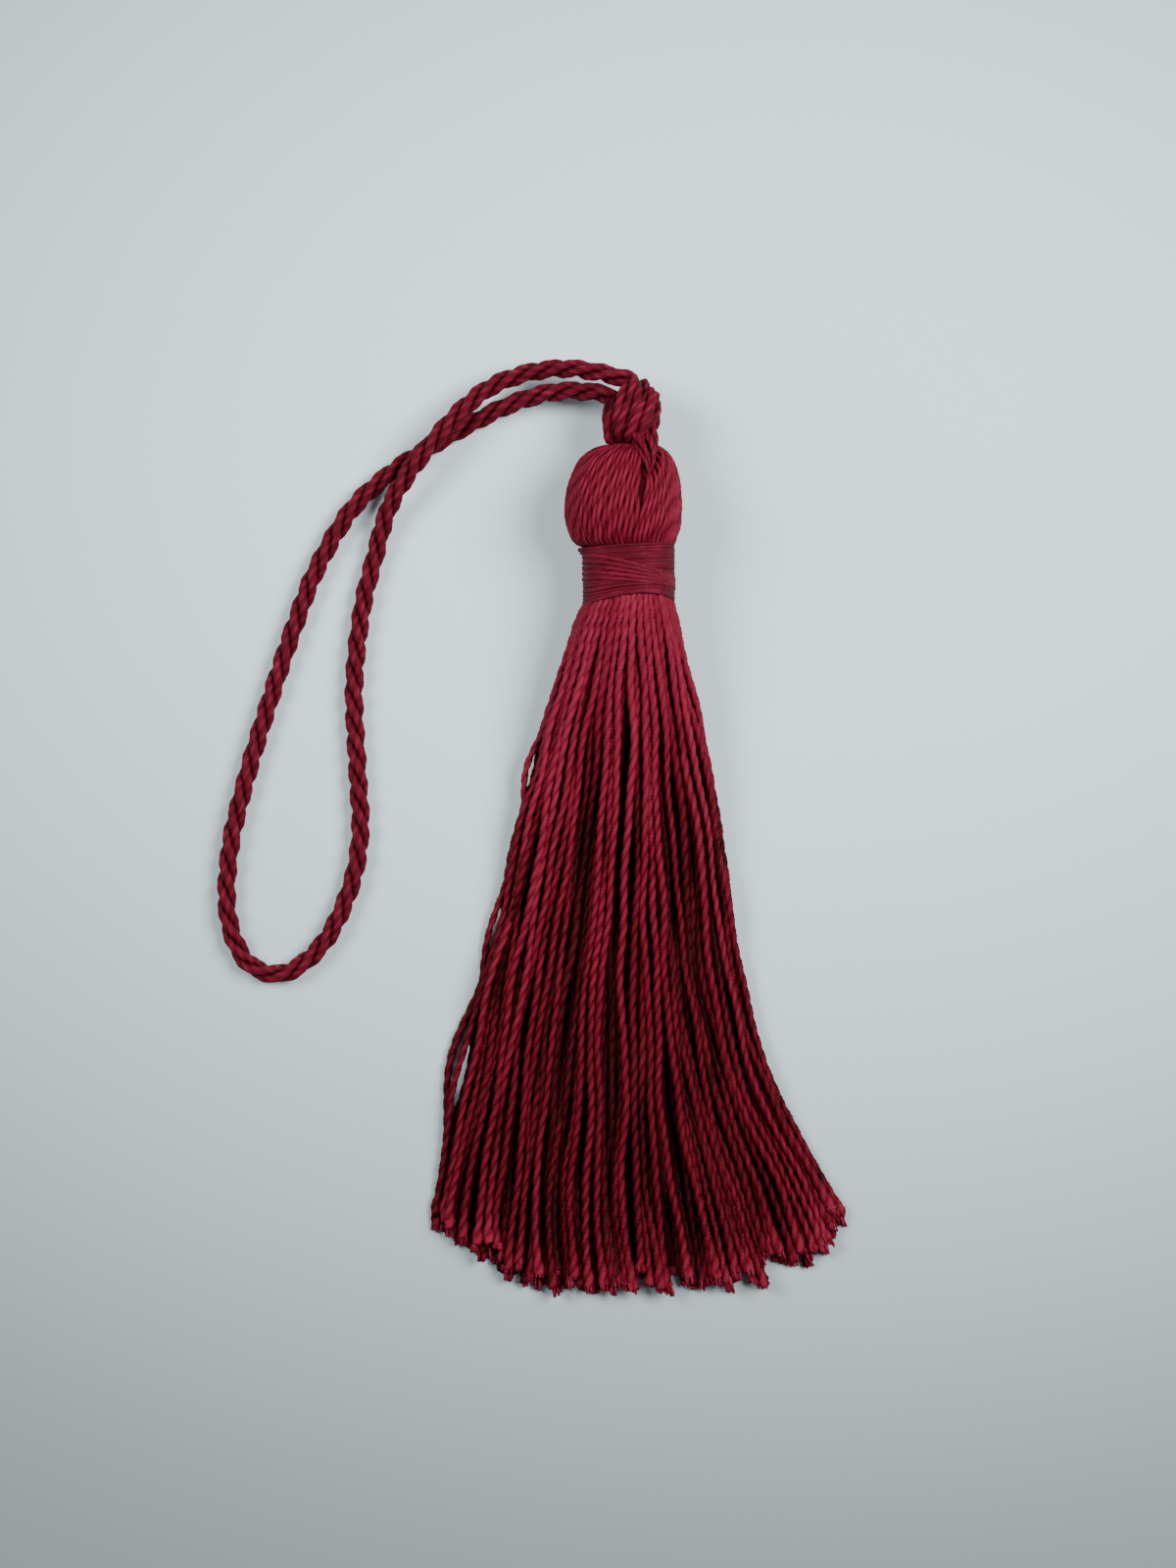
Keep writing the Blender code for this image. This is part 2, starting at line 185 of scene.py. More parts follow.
def placePiece(name, points, faces, material, replaces, fibre=None, tone=None):
    # Faces are arrays of corner numbers, one array for each number of corners
    mesh = bpy.data.meshes.new(name)
    points = np.asarray(points, dtype=np.float32) * mm
    faces = [np.asarray(part) for part in faces if len(part)]
    loops = np.concatenate([part.ravel() for part in faces])
    totals = np.concatenate([np.full(len(part), part.shape[1]) for part in faces])
    starts = np.concatenate(([0], np.cumsum(totals)[:-1]))
    mesh.vertices.add(len(points))
    mesh.vertices.foreach_set("co", points.ravel())
    mesh.loops.add(len(loops))
    mesh.loops.foreach_set("vertex_index", loops.astype(np.int32))
    mesh.polygons.add(len(totals))
    mesh.polygons.foreach_set("loop_start", starts.astype(np.int32))
    mesh.polygons.foreach_set("loop_total", totals.astype(np.int32))
    mesh.update(calc_edges=True)
    mesh.validate()
    mesh.shade_smooth()
    if fibre is None:
        fibre = points / mm
    if tone is None:
        tone = np.full(len(points), 0.5)
    fibrePlaces = mesh.attributes.new("fibre", "FLOAT_VECTOR", "POINT")
    fibrePlaces.data.foreach_set("vector", fibre.astype(np.float32).ravel())
    toneValues = mesh.attributes.new("tone", "FLOAT", "POINT")
    toneValues.data.foreach_set("value", tone.astype(np.float32))
    mesh.materials.append(material)
    piece = bpy.data.objects.new(name, mesh)
    bpy.context.scene.collection.objects.link(piece)
    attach(piece, "root")
    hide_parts(replaces)
    triangles = int((totals - 2).sum())
    print(name, "triangles", triangles)
    return piece


def smoothStep(value):
    # 3 v^2 - 2 v^3, with v held between 0 and 1
    value = np.clip(value, 0, 1)
    return value * value * (3 - 2 * value)


def curveAt(stations, places):
    # Catmull-Rom curve through stations, an array ... x stations x 3, read at station numbers
    last = stations.shape[-2] - 1
    start = np.clip(np.floor(places).astype(int), 0, last - 1)
    t = (places - start)[:, None]
    before = stations[..., np.maximum(start - 1, 0), :]
    a, b = stations[..., start, :], stations[..., start + 1, :]
    after = stations[..., np.minimum(start + 2, last), :]
    return 0.5 * (2 * a + (b - before) * t + (2 * before - 5 * a + 4 * b - after) * t**2
                  + (3 * a - before - 3 * b + after) * t**3)


def evenCurve(route, step):
    # Points about one step apart on the curve through a route's points
    route = np.asarray(route, dtype=float)
    fine = curveAt(route, np.linspace(0, len(route) - 1, 40 * len(route)))
    travel = np.concatenate(([0], np.cumsum(np.linalg.norm(np.diff(fine, axis=0), axis=1))))
    stops = np.linspace(0, travel[-1], max(2, round(travel[-1] / step) + 1))
    return np.column_stack([np.interp(stops, travel, fine[:, axis]) for axis in range(3)])


def pathFrames(paths, upward=(0, 0, 1)):
    # For each point of each path: direction, a side vector level with the floor, the third vector
    along = np.gradient(paths, axis=-2)
    along /= np.linalg.norm(along, axis=-1, keepdims=True)
    across = np.cross(along, np.asarray(upward, dtype=float))
    across /= np.linalg.norm(across, axis=-1, keepdims=True)
    return along, across, np.cross(along, across)


def travelOf(paths):
    # The length travelled along each path at each of its points
    steps = np.linalg.norm(np.diff(paths, axis=-2), axis=-1)
    return np.concatenate((np.zeros(steps.shape[:-1] + (1,)), np.cumsum(steps, axis=-1)), axis=-1)


def carriedFrames(path):
    # Side vectors carried along one path without twist, for routes that turn every way
    along = np.gradient(path, axis=0)
    along /= np.linalg.norm(along, axis=1)[:, None]
    across = np.zeros_like(path)
    slant = (0.3, 0.2, 1.0)  # a direction in which no route starts
    across[0] = np.cross(along[0], slant)
    for ring in range(len(path)):
        start = across[max(ring - 1, 0)]
        across[ring] = start - along[ring] * np.dot(start, along[ring])
        across[ring] /= np.linalg.norm(across[ring])
    return along, across, np.cross(along, across)


def smoothAlong(values, reach):
    # The mean of each value and of as many as reach says on both sides of it, along its thread
    padded = np.pad(values, ((0, 0), (reach, reach)), mode="edge")
    width = 2 * reach + 1
    return sum(padded[:, i:i + values.shape[1]] for i in range(width)) / width


# A two-ply yarn's skin: the angles of its ten corners, and how deep each lies in a groove
yarnSkin = {
    "angles": np.radians((-90, -65, -25, 25, 65, 90, 115, 155, 205, 245)),
    "depth": np.array((1.0, 0.52, 0.03, 0.03, 0.52, 1.0, 0.52, 0.03, 0.03, 0.52)),
    # Painted shade taken off the tone in the grooves and on the flanks, and how sharply it falls on the
    # flanks
    "groove": 0.34, "grooveShade": 0.42, "flankShade": 0.30, "flankPower": 1.5,
    "along": 0.15,           # scale of the fibre pattern along the yarn, which draws it out
}


def pliedYarn(paths, frames, radius, turn, chance, widen=1.0, flatten=1.0, firm=1.0):
    # The skin stands at radius * (1 - groove * depth), at the skin's angles plus the yarn's turn.
    # It gives points, places for the filaments and the painted shade that each groove and flank takes off
    _, across, third = frames
    ring, depth = yarnSkin["angles"], yarnSkin["depth"]
    angles = turn[..., None] + ring
    reach = radius[..., None] * (1 - firm * yarnSkin["groove"] * depth)
    wide = (np.ones_like(turn) * widen)[..., None] * reach * np.cos(angles)
    high = (np.ones_like(turn) * flatten)[..., None] * reach * np.sin(angles)
    points = paths[:, :, None] + wide[..., None] * across[:, :, None] \
        + high[..., None] * third[:, :, None]
    shift = chance.uniform(0, 50, (len(paths), 1, 1))
    travel = travelOf(paths)[..., None] + np.zeros_like(reach)
    fibre = np.stack((
        reach * np.cos(ring) + shift, reach * np.sin(ring) + 0.5 * shift, yarnSkin["along"] * travel,
    ), axis=-1)
    # Painted shade: each side of a yarn, next to its neighbour, is darker than its upper face
    flank = (1 - np.clip(-np.sin(angles), 0, 1)) ** yarnSkin["flankPower"]
    shade = -firm * (yarnSkin["grooveShade"] * depth + yarnSkin["flankShade"] * flank)
    return points[:, None], fibre[:, None], shade[:, None]


def tubeFaces(tubes, rings, sides):
    # Quads along each tube, and a many-sided face that closes each end
    ring, side = np.meshgrid(np.arange(rings - 1), np.arange(sides), indexing="ij")
    a = ring * sides + side
    b = ring * sides + (side + 1) % sides
    quads = np.stack((a, b, b + sides, a + sides), axis=-1).reshape(-1, 4)
    starts = (np.arange(tubes) * rings * sides)[:, None, None]
    startCap = np.arange(sides)[::-1]
    endCap = (rings - 1) * sides + np.arange(sides)
    caps = np.stack((startCap, endCap))
    return (starts + quads).reshape(-1, 4), (starts + caps).reshape(-1, sides)


def placeTubes(name, points, fibre, tone, material, replaces):
    # points: threads x plies x rings x sides x 3, tone: one shade for each point or thread
    threads, plies, rings, sides = points.shape[:4]
    quads, caps = tubeFaces(threads * plies, rings, sides)
    tone = np.asarray(tone)
    shade = np.broadcast_to(tone if tone.ndim == 4 else tone[:, None, None, None], points.shape[:4])
    shade = np.clip(shade, 0, 1)
    return placePiece(
        name, points.reshape(-1, 3), (quads, caps), material, replaces,
        fibre.reshape(-1, 3), shade.ravel(),
    )


# Hanging cord: three plies with an S twist, close to the solid's route and on into the knot
cordPlan = {
    "radius": 0.95, "plyRadius": 0.47, "spacing": 1.02, "lay": -7.6, "phase": 0.4,
    "step": 0.2, "sides": 15, "yarnLay": 3.6, "relief": 0.07,
    "tone": 0.47, "yarnShade": 0.13, "grooveShade": 0.44,
    "grooveFrom": 0.95, "grooveTo": 1.8,     # in ply radii from the cord's middle
    "along": 0.12, "plyShift": 7,            # fibre pattern: scale along a ply, step from ply to ply
    "exit": (-0.85, 12.58, 5.25),
    "intoKnot": ((1.1, 11.9, 4.9), (0.2, 12.3, 5.2)),
    "outOfKnot": ((-1.7, 10.85, 4.6), (-0.9, 10.3, 4.9)),
}
cordRoute = (
    (-0.85, 12.58, 5.25), (-2.90, 13.05, 4.75), (-5.40, 13.40, 3.75), (-8.20, 13.25, 2.75),
    (-11.00, 12.55, 2.30), (-13.40, 11.35, 2.60), (-16.00, 9.10, 3.15), (-19.10, 5.55, 3.30),
    (-21.85, 1.70, 2.50), (-23.20, -1.30, 1.50), (-24.10, -4.60, 1.00), (-25.35, -9.70, 0.97),
    (-26.15, -17.30, 0.97), (-25.80, -25.80, 0.97), (-25.55, -31.50, 0.97), (-26.50, -36.80, 0.97),
    (-29.10, -42.20, 0.97), (-32.90, -45.15, 0.97), (-36.50, -44.10, 0.97), (-38.40, -39.60, 0.97),
    (-38.20, -33.00, 0.97), (-36.50, -25.80, 0.97), (-34.20, -18.20, 0.97), (-32.00, -11.60, 0.97),
    (-29.80, -5.90, 0.97), (-26.45, -0.20, 0.97), (-22.60, 3.40, 0.97), (-18.70, 6.00, 0.97),
    (-15.20, 8.00, 0.97), (-11.50, 9.85, 1.15), (-8.20, 10.95, 1.75), (-5.40, 11.30, 2.75),
    (-2.62, 11.05, 4.00),
)


def cordPlies(path, lay, plyRadius, sides, phase, grooveShade, taper=1.0):
    # Three plies wound round a path, each of three finer yarns with the opposite twist:
    # plyRadius * (1 + relief * cos(3 * (angle - twist))), with painted shade where the plies meet
    frames = [part[None] for part in carriedFrames(path)]
    travel = travelOf(path)[None]
    offset = cordPlan["spacing"] * plyRadius
    turn = 2 * math.pi * travel / lay + phase
    plyTurn = turn[:, None] + 2 * math.pi * np.arange(3)[None, :, None] / 3
    ring = 2 * math.pi * np.arange(sides) / sides
    skinTurn = plyTurn[..., None] + ring
    finer = 3 * (skinTurn - 2 * math.pi * travel[:, None, :, None] / cordPlan["yarnLay"])
    taper = np.broadcast_to(taper, travel.shape)[:, None, :, None]
    radius = plyRadius * taper * (1 + cordPlan["relief"] * np.cos(finer))
    _, across, third = frames
    sideward = offset * taper * np.cos(plyTurn)[..., None] + radius * np.cos(skinTurn)
    upward = offset * taper * np.sin(plyTurn)[..., None] + radius * np.sin(skinTurn)
    points = path[None, None, :, None] + sideward[..., None] * across[:, None, :, None] \
        + upward[..., None] * third[:, None, :, None]
    reach = np.hypot(sideward, upward) / taper
    inner, outer = plyRadius * cordPlan["grooveFrom"], plyRadius * cordPlan["grooveTo"]
    # Painted shade where the plies meet, fading out away from the cord's middle
    shade = -grooveShade * (1 - smoothStep((reach - inner) / (outer - inner)))
    angle = np.arctan2(upward, sideward)
    plyStart = cordPlan["plyShift"] * np.arange(3)[None, :, None, None]
    fibre = np.stack((
        2 * plyRadius * np.cos(angle), 2 * plyRadius * np.sin(angle),
        cordPlan["along"] * travel[:, None, :, None] + plyStart + np.zeros_like(angle),
    ), axis=-1)
    # Painted light and shade along the finer yarns: lighter on their ridges, darker between them
    return points, fibre, shade + cordPlan["yarnShade"] * np.cos(finer)


def makeCord():
    route = cordPlan["intoKnot"] + cordRoute + cordPlan["outOfKnot"]
    path = evenCurve(route, cordPlan["step"])
    points, fibre, shade = cordPlies(
        path, cordPlan["lay"], cordPlan["plyRadius"], cordPlan["sides"], cordPlan["phase"],
        cordPlan["grooveShade"],
    )
    tone = cordPlan["tone"] + shade
    cord = placeTubes("loop_cord", points, fibre, tone, cordFibre, "hanging_cord")


makeCord()


# Yarn bundle: folded head, bound neck and the skirt's threads, close to the solid's sizes
headPlan = {
    "yarns": 64, "scatter": 0.003, "relief": 0.12, "lean": -0.018, "leanFrom": -3.5,
    "axis": (0.0, 5.2), "thickShare": 0.61, "thickRange": (0.11, 0.33),
    # y, radius across, radius in height, axis x, axis z
    "rows": (
        (5.95, 1.50, 1.50, 0.90, 5.20), (5.78, 2.60, 2.50, 0.68, 5.20), (5.32, 3.58, 3.48, 0.45, 5.20),
        (4.45, 4.48, 4.36, 0.28, 5.20), (2.95, 5.15, 5.02, 0.15, 5.20), (1.25, 5.52, 5.40, 0.02, 5.20),
        (-0.60, 5.62, 5.45, -0.02, 5.20), (-1.90, 5.44, 5.25, 0.02, 5.20),
        (-2.80, 5.14, 4.92, 0.05, 5.15), (-3.30, 4.92, 4.66, 0.12, 5.05),
        (-3.62, 4.58, 4.38, 0.28, 4.98), (-3.90, 4.05, 4.00, 0.48, 4.92), (-5.20, 3.90, 3.90, 0.52, 4.90),
    ),
    "rings": 84, "lay": 4.7, "laySpread": (0.92, 1.08), "widen": 1.06, "firm": 1.15,
    "tone": 0.86, "toneSpread": 0.05,
    # The parting under the cord's legs: its angle at the neck, its width and its opening, and the
    # height from which it opens and the run over which it does
    "partAngle": 1.32, "partWidth": 0.22, "partReach": 0.085, "partFrom": -1.5, "partRun": 3.5,
    # The hollow round the legs: the room that they get, cut in small steps
    "legClear": 0.70, "cutStep": 0.03, "cutRounds": 30, "cutSmoothing": 3,
    # The core: how far it lies inside the yarns, its room round the legs, and its plug in the skirt
    "corePull": 0.36, "coreClear": 0.82, "coreSides": 64, "neckEnd": -8.6,
    "coreRadius": 5, "plugEnd": -13.0, "plugShare": 0.75,
    "yarnOffFloor": 0.01, "coreOffFloor": 0.02,
}

skirtPlan = {
    "count": 150, "rootReach": 3.62, "rootRings": 6, "rootTurn": 0.3, "rootScatter": 0.03,
    "intoNeck": 1.5, "rootSpread": 0.12, "clearance": 0.05, "rounds": 400, "pushShare": 0.4,
    # Gentle sways of the single threads and of whole clumps, full once a run below the neck
    "sway": 0.10, "clumpSway": 0.15, "clumpWaves": 11, "swayLength": 14, "swayRun": 20,
    "flarePower": 1.5, "evening": 0.15,
    # y, left edge, right edge, flare to the right, thickness, underside, strand radius, roundness
    "rows": (
        (-9.20, -3.20, 4.24, 0.0, 7.44, 1.18, 0.21, 1.0),
        (-11.50, -4.75, 5.35, 0.0, 8.20, 0.75, 0.23, 1.0),
        (-16.00, -6.20, 6.45, 0.0, 7.60, 0.35, 0.25, 0.8),
        (-24.00, -8.75, 8.25, 0.0, 6.00, 0.0, 0.29, 0.3),
        (-34.00, -11.20, 9.85, 0.0, 4.80, 0.0, 0.32, 0.0),
        (-46.00, -13.95, 11.20, 0.5, 3.80, 0.0, 0.33, 0.0),
        (-57.00, -16.35, 12.60, 2.6, 3.10, 0.0, 0.34, 0.0),
        (-67.00, -18.35, 13.70, 7.0, 2.45, 0.0, 0.35, 0.0),
        (-76.50, -19.00, 14.60, 10.6, 2.10, 0.0, 0.35, 0.0),
    ),
    # x and y of the cut ends' outline
    "tips": (
        (-18.60, -69.20), (-14.80, -71.90), (-12.60, -72.60), (-11.40, -74.80), (-10.20, -74.60),
        (-7.20, -75.20), (-2.50, -75.40), (6.00, -75.30), (12.60, -75.00), (14.20, -75.60),
        (15.00, -72.40), (19.00, -73.30), (20.60, -73.20), (22.40, -70.80), (24.20, -68.60),
        (25.60, -69.20),
    ),
    "tipUnevenness": 1.3, "tipWidening": 0.45, "tipFlattening": 0.22, "askewCut": 0.18,
    "openOver": (1.5, 4.5),                  # shortest and longest run over which an end opens
    "threadRadius": (0.42, 0.42, 0.41, 0.40, 0.40, 0.40, 0.40, 0.40, 0.41),
    "radiusSpread": (0.90, 1.07), "lay": 3.1, "laySpread": (0.92, 1.10), "step": 0.34, "pieces": 4,
    "waver": 0.17, "waverLengths": (9.0, 17.0, 31.0), "waverRun": 12,
    "widestGap": 0.62, "gapRounds": 40, "gapShare": 0.35, "gapSmoothing": 6,
    "middleOffFloor": 0.01, "skinOffFloor": 0.004,
    # Pairs: the place where a change starts, and the run over which it grows
    "sinkShare": 0.55, "sinkDepth": 0.85, "sinkBelow": (-12, 18),
    "flareFrom": (3, 8), "flareBelow": (-42, 20), "flareEase": 0.6,
    # Stray threads: y, which threads from the left edge, push across, spread along
    "strays": (
        (-25.5, (0, 1), -0.50, 3.0), (-25.5, (1, 6), 0.45, 3.0), (-39.7, (0, 1), -0.30, 3.5),
        (-39.7, (1, 6), 0.50, 3.5), (-53.8, (0, 1), -1.35, 6.0), (-53.8, (1, 2), -0.50, 6.0),
        (-53.8, (2, 13), 0.40, 6.0),
    ),
}
# How light the threads are: each thread's own tone, and painted light and painted shade added to it or
# taken from it, with the same pairs
skirtLight = {
    "tone": 0.82, "toneSpread": 0.10, "neckPaintedLight": 0.08, "neckBelow": (-10, 25),
    "lowPaintedShade": 0.26, "lowBelow": (-30, 28), "tipPaintedLight": 0.20, "tipRun": 5.0, "flarePaintedLight": 0.09,
    "sunkPaintedShade": 0.28, "coverPaintedShade": 0.62, "coverFrom": 0.15, "coverSpan": 0.55, "coverEase": 0.5,
    "shoulder": 0.24,        # how far a thread's shoulder stands above another's middle
    # Between threads that lie tight at the neck, little painted shade is laid
    "shadeBelow": (-14, 22), "shadeAtNeck": 0.08, "grooveAtNeck": 0.24,
}


def skirtAcross(row):
    # Where a row's strands lie across the skirt, for shares from -1 to 1: a straight run plus the
    # flare times the share to a power on the right half
    share = np.linspace(-1, 1, 81)
    left, right = row[1] + row[6], row[2] - row[6]
    flare = row[3] * np.clip(share, 0, 1) ** skirtPlan["flarePower"]
    return share, (left + right) / 2 + share * (right - left) / 2 + flare


def skirtHeights(row):
    # The lowest place for a strand's middle, and how far above it the highest one is
    thickness, underside, radius = row[4:7]
    return underside + radius / 2, thickness - 1.5 * radius


def settle(places, row):
    # Pushes strands apart until each pair is a spacing apart, inside the skirt's section, whose
    # arch is the square root of one minus the share squared
    radius, roundness = row[6:8]
    spacing = 2 * radius + skirtPlan["clearance"]
    share, across = skirtAcross(row)
    floor, height = skirtHeights(row)
    for _ in range(skirtPlan["rounds"]):
        offsets = places[:, None] - places[None]
        distances = np.maximum(np.linalg.norm(offsets, axis=2), 0.001) + np.eye(len(places))
        overlaps = np.clip(spacing - distances, 0, None) * (1 - np.eye(len(places)))
        push = offsets * (overlaps / distances * skirtPlan["pushShare"])[..., None]
        places = places + push.sum(axis=1)
        places[:, 0] = np.clip(places[:, 0], across[0], across[-1])
        arch = np.sqrt(1 - np.interp(places[:, 0], across, share) ** 2)
        lowest = floor + height * roundness * 0.5 * (1 - arch)
        highest = floor + height * (0.5 + 0.5 * arch)
        places[:, 1] = np.clip(places[:, 1], lowest, highest)
    return places


def strandStations():
    # Each strand's centre at the skirt's rows, threads x rows x 3: roots in even rings that
    # open out row by row
    count = skirtPlan["count"]
    rings = np.arange(skirtPlan["rootRings"]) + 0.5
    members = np.round(count * rings / rings.sum()).astype(int)
    members[-1] += count - members.sum()
    roots = np.vstack([
        reach / rings[-1] * skirtPlan["rootReach"] * np.column_stack((np.cos(turn), np.sin(turn)))
        for reach, turn in (
            (ring, 2 * math.pi * (np.arange(size) + skirtPlan["rootTurn"] * ring) / size)
            for ring, size in zip(rings, members)
        )
    ])
    chance = np.random.default_rng(11)
    roots = roots + chance.normal(0, skirtPlan["rootScatter"], roots.shape)
    phases = chance.uniform(0, 2 * math.pi, count)
    lift = chance.uniform(-1, 1, count)
    stations = []
    for row in skirtPlan["rows"]:
        y = row[0]
        share, across = skirtAcross(row)
        floor, height = skirtHeights(row)
        if not stations:
            places = roots + ((across[0] + across[-1]) / 2, row[5] + row[4] / 2)
        else:
            depth = min(1.0, (skirtPlan["rows"][0][0] - y) / skirtPlan["swayRun"])
            wave = y / skirtPlan["swayLength"]
            even = (levelShare * np.sqrt(1 - levelShare**2) + np.arcsin(levelShare)) * 2 / math.pi
            levelShare = levelShare + skirtPlan["evening"] * depth * (even - levelShare)
            places = np.column_stack((np.interp(levelShare, share, across), floor + height * rise))
            clumps = skirtPlan["clumpSway"] * np.sin(skirtPlan["clumpWaves"] * levelShare + wave)
            places[:, 0] += depth * (clumps + skirtPlan["sway"] * np.sin(phases + wave))
            places = settle(places, row)
        levelShare = np.interp(places[:, 0], across, share)
        rise = (places[:, 1] - floor) / height
        stations.append(np.column_stack((places[:, 0], np.full(count, y), places[:, 1])))
    stations = np.array(stations).transpose(1, 0, 2)
    # Most ends fall a little short of the outline, and a few stand past it
    tipX, tipY = np.array(skirtPlan["tips"]).T
    ends = np.interp(stations[:, -1, 0], tipX, tipY) + skirtPlan["tipUnevenness"] * (0.3 + 0.7 * lift)
    last, before = skirtPlan["rows"][-1][0], skirtPlan["rows"][-2][0]
    along = np.clip((before - ends) / (before - last), 0.1, 1)[:, None]
    stations[:, -1] = stations[:, -2] + (stations[:, -1] - stations[:, -2]) * along
    return stations


def skyCover(paths):
    # The share of the sky that the threads on both sides hide from each point, from 0 to 1, which
    # sets the painted shade between threads: on each side the steepest angle up to a neighbour's
    # shoulder over a right angle, and the root of the two sides' product
    cover = np.zeros(paths.shape[:2])
    for ring in range(paths.shape[1]):
        x, z = paths[:, ring, 0], paths[:, ring, 2]
        aside = x[None] - x[:, None]
        upward = z[None] + skirtLight["shoulder"] - z[:, None]
        slope = np.arctan2(upward, np.maximum(np.abs(aside), 0.02))
        slope = np.clip(slope, 0, None) * (1 - np.eye(len(x)))
        leftward = np.where(aside < 0, slope, 0).max(axis=1)
        rightward = np.where(aside > 0, slope, 0).max(axis=1)
        cover[:, ring] = np.sqrt(leftward * rightward) / (math.pi / 2)
    return cover


def closeGaps(paths):
    # Draws neighbours together wherever the floor would show between them: at each height the
    # threads are sorted across, and a space over the widest is shared out, smoothed along
    plan = skirtPlan
    for _ in range(plan["gapRounds"]):
        order = np.argsort(paths[:, :, 0], axis=0, kind="stable")
        across = np.take_along_axis(paths[:, :, 0], order, axis=0)
        excess = np.clip(np.diff(across, axis=0) - plan["widestGap"], 0, None)
        move = np.zeros_like(across)
        move[:-1] += plan["gapShare"] * excess
        move[1:] -= plan["gapShare"] * excess
        shift = np.zeros_like(across)
        np.put_along_axis(shift, order, move, axis=0)
        paths[:, :, 0] += smoothAlong(shift, plan["gapSmoothing"])
    widest = np.diff(np.sort(paths[:, :, 0], axis=0), axis=0).max()
    print("widest space between threads in mm", round(float(widest), 2))


def below(y, start, run):
    # From 0 at the start's height to 1 a run further down the skirt
    return smoothStep((start - y) / run)


def threadStations():
    # The strands' stations, led on up into the neck, and the station numbers to read along each
    plan = skirtPlan
    stations = strandStations()
    lowest = plan["threadRadius"][-1] + plan["middleOffFloor"]
    stations[:, :, 2] = np.maximum(stations[:, :, 2], lowest)
    middle = stations[:, :1].mean(axis=0, keepdims=True) * (1, 0, 1)
    heads = stations[:, :1] + (0, plan["intoNeck"], 0)
    stations[:, :1] += plan["rootSpread"] * (stations[:, :1] * (1, 0, 1) - middle)
    stations = np.concatenate((heads, stations), axis=1)
    spans = np.linalg.norm(np.diff(stations, axis=1), axis=2).mean(axis=0)
    places = [
        np.linspace(i, i + 1, max(2, round(span / plan["step"])), endpoint=False)
        for i, span in enumerate(spans)
    ]
    return stations, np.concatenate(places + [[len(spans)]])


def layThreads(paths, travel, chance):
    # Moves the threads' middles to where they lie, and gives for each point how far its thread has
    # sunk, how far it is on the flare and how far it strays
    plan = skirtPlan
    count = len(paths)
    free = smoothStep(travel / plan["waverRun"])
    for axis in (0, 2):
        for wave in plan["waverLengths"]:
            start = chance.uniform(0, 2 * math.pi, (count, 1))
            reach = plan["waver"] * (wave / 20) * chance.uniform(0.3, 1.0, (count, 1))
            paths[:, :, axis] += reach * free * np.sin(2 * math.pi * travel / wave + start)
    # Some threads sink between their neighbours below the neck
    chosen = chance.uniform(0, 1, (count, 1)) < plan["sinkShare"]
    sink = np.where(chosen, chance.uniform(0.5, 1.0, (count, 1)), 0)
    # The flare on the right spreads them out side by side, so fewer sink there
    edge, run = plan["flareFrom"]
    flared = smoothStep((paths[:, :, 0] - edge) / run) * below(paths[:, :, 1], *plan["flareBelow"])
    sunk = plan["sinkDepth"] * sink * (1 - plan["flareEase"] * flared)
    paths[:, :, 2] -= sunk * below(paths[:, :, 1], *plan["sinkBelow"])
    closeGaps(paths)
    # A few threads stand off the left edge: a push that swells and fades about one height
    loose = np.zeros(paths.shape[:2])
    for y, members, push, spread in plan["strays"]:
        ring = np.abs(paths[:, :, 1].mean(axis=0) - y).argmin()
        order = np.argsort(paths[:, ring, 0], kind="stable")[members[0]:members[1]]
        swell = np.exp(-((paths[order, :, 1] - y) / spread) ** 2)
        paths[order, :, 0] += push * swell
        loose[order] = np.maximum(loose[order], swell)
    return sink, flared, loose


def skirtTones(paths, left, tone, shade, sink, flared, loose):
    # Painted light and painted shade on the threads: lighter where they lie tight at the neck, on the
    # flare and at the cut ends, and darker low in the skirt, where they sink and where their neighbours
    # stand over them
    light = skirtLight
    y = paths[:, :, 1]
    grown = light["shadeAtNeck"] + (1 - light["shadeAtNeck"]) * below(y, *light["shadeBelow"])
    cover = smoothStep((skyCover(paths) - light["coverFrom"]) / light["coverSpan"])
    # Painted light at the neck, on the flare and at the cut ends
    paintedLight = light["neckPaintedLight"] * (1 - below(y, *light["neckBelow"])) + light["flarePaintedLight"] * flared \
        + light["tipPaintedLight"] * smoothStep(1 - left / light["tipRun"])
    # Painted shade low in the skirt, on sunk threads and where the neighbours hide the sky
    sunk = light["sunkPaintedShade"] * sink * (1 - skirtPlan["flareEase"] * flared)
    paintedCoverShade = light["coverPaintedShade"] * cover * (1 - light["coverEase"] * flared)
    paintedShade = light["lowPaintedShade"] * below(y, *light["lowBelow"]) + grown * (1 - loose) * (sunk + paintedCoverShade)
    groove = light["grooveAtNeck"] + (1 - light["grooveAtNeck"]) * grown
    return tone[:, None, None, None] + shade * groove[:, None, :, None] + (paintedLight - paintedShade)[:, None, :, None]


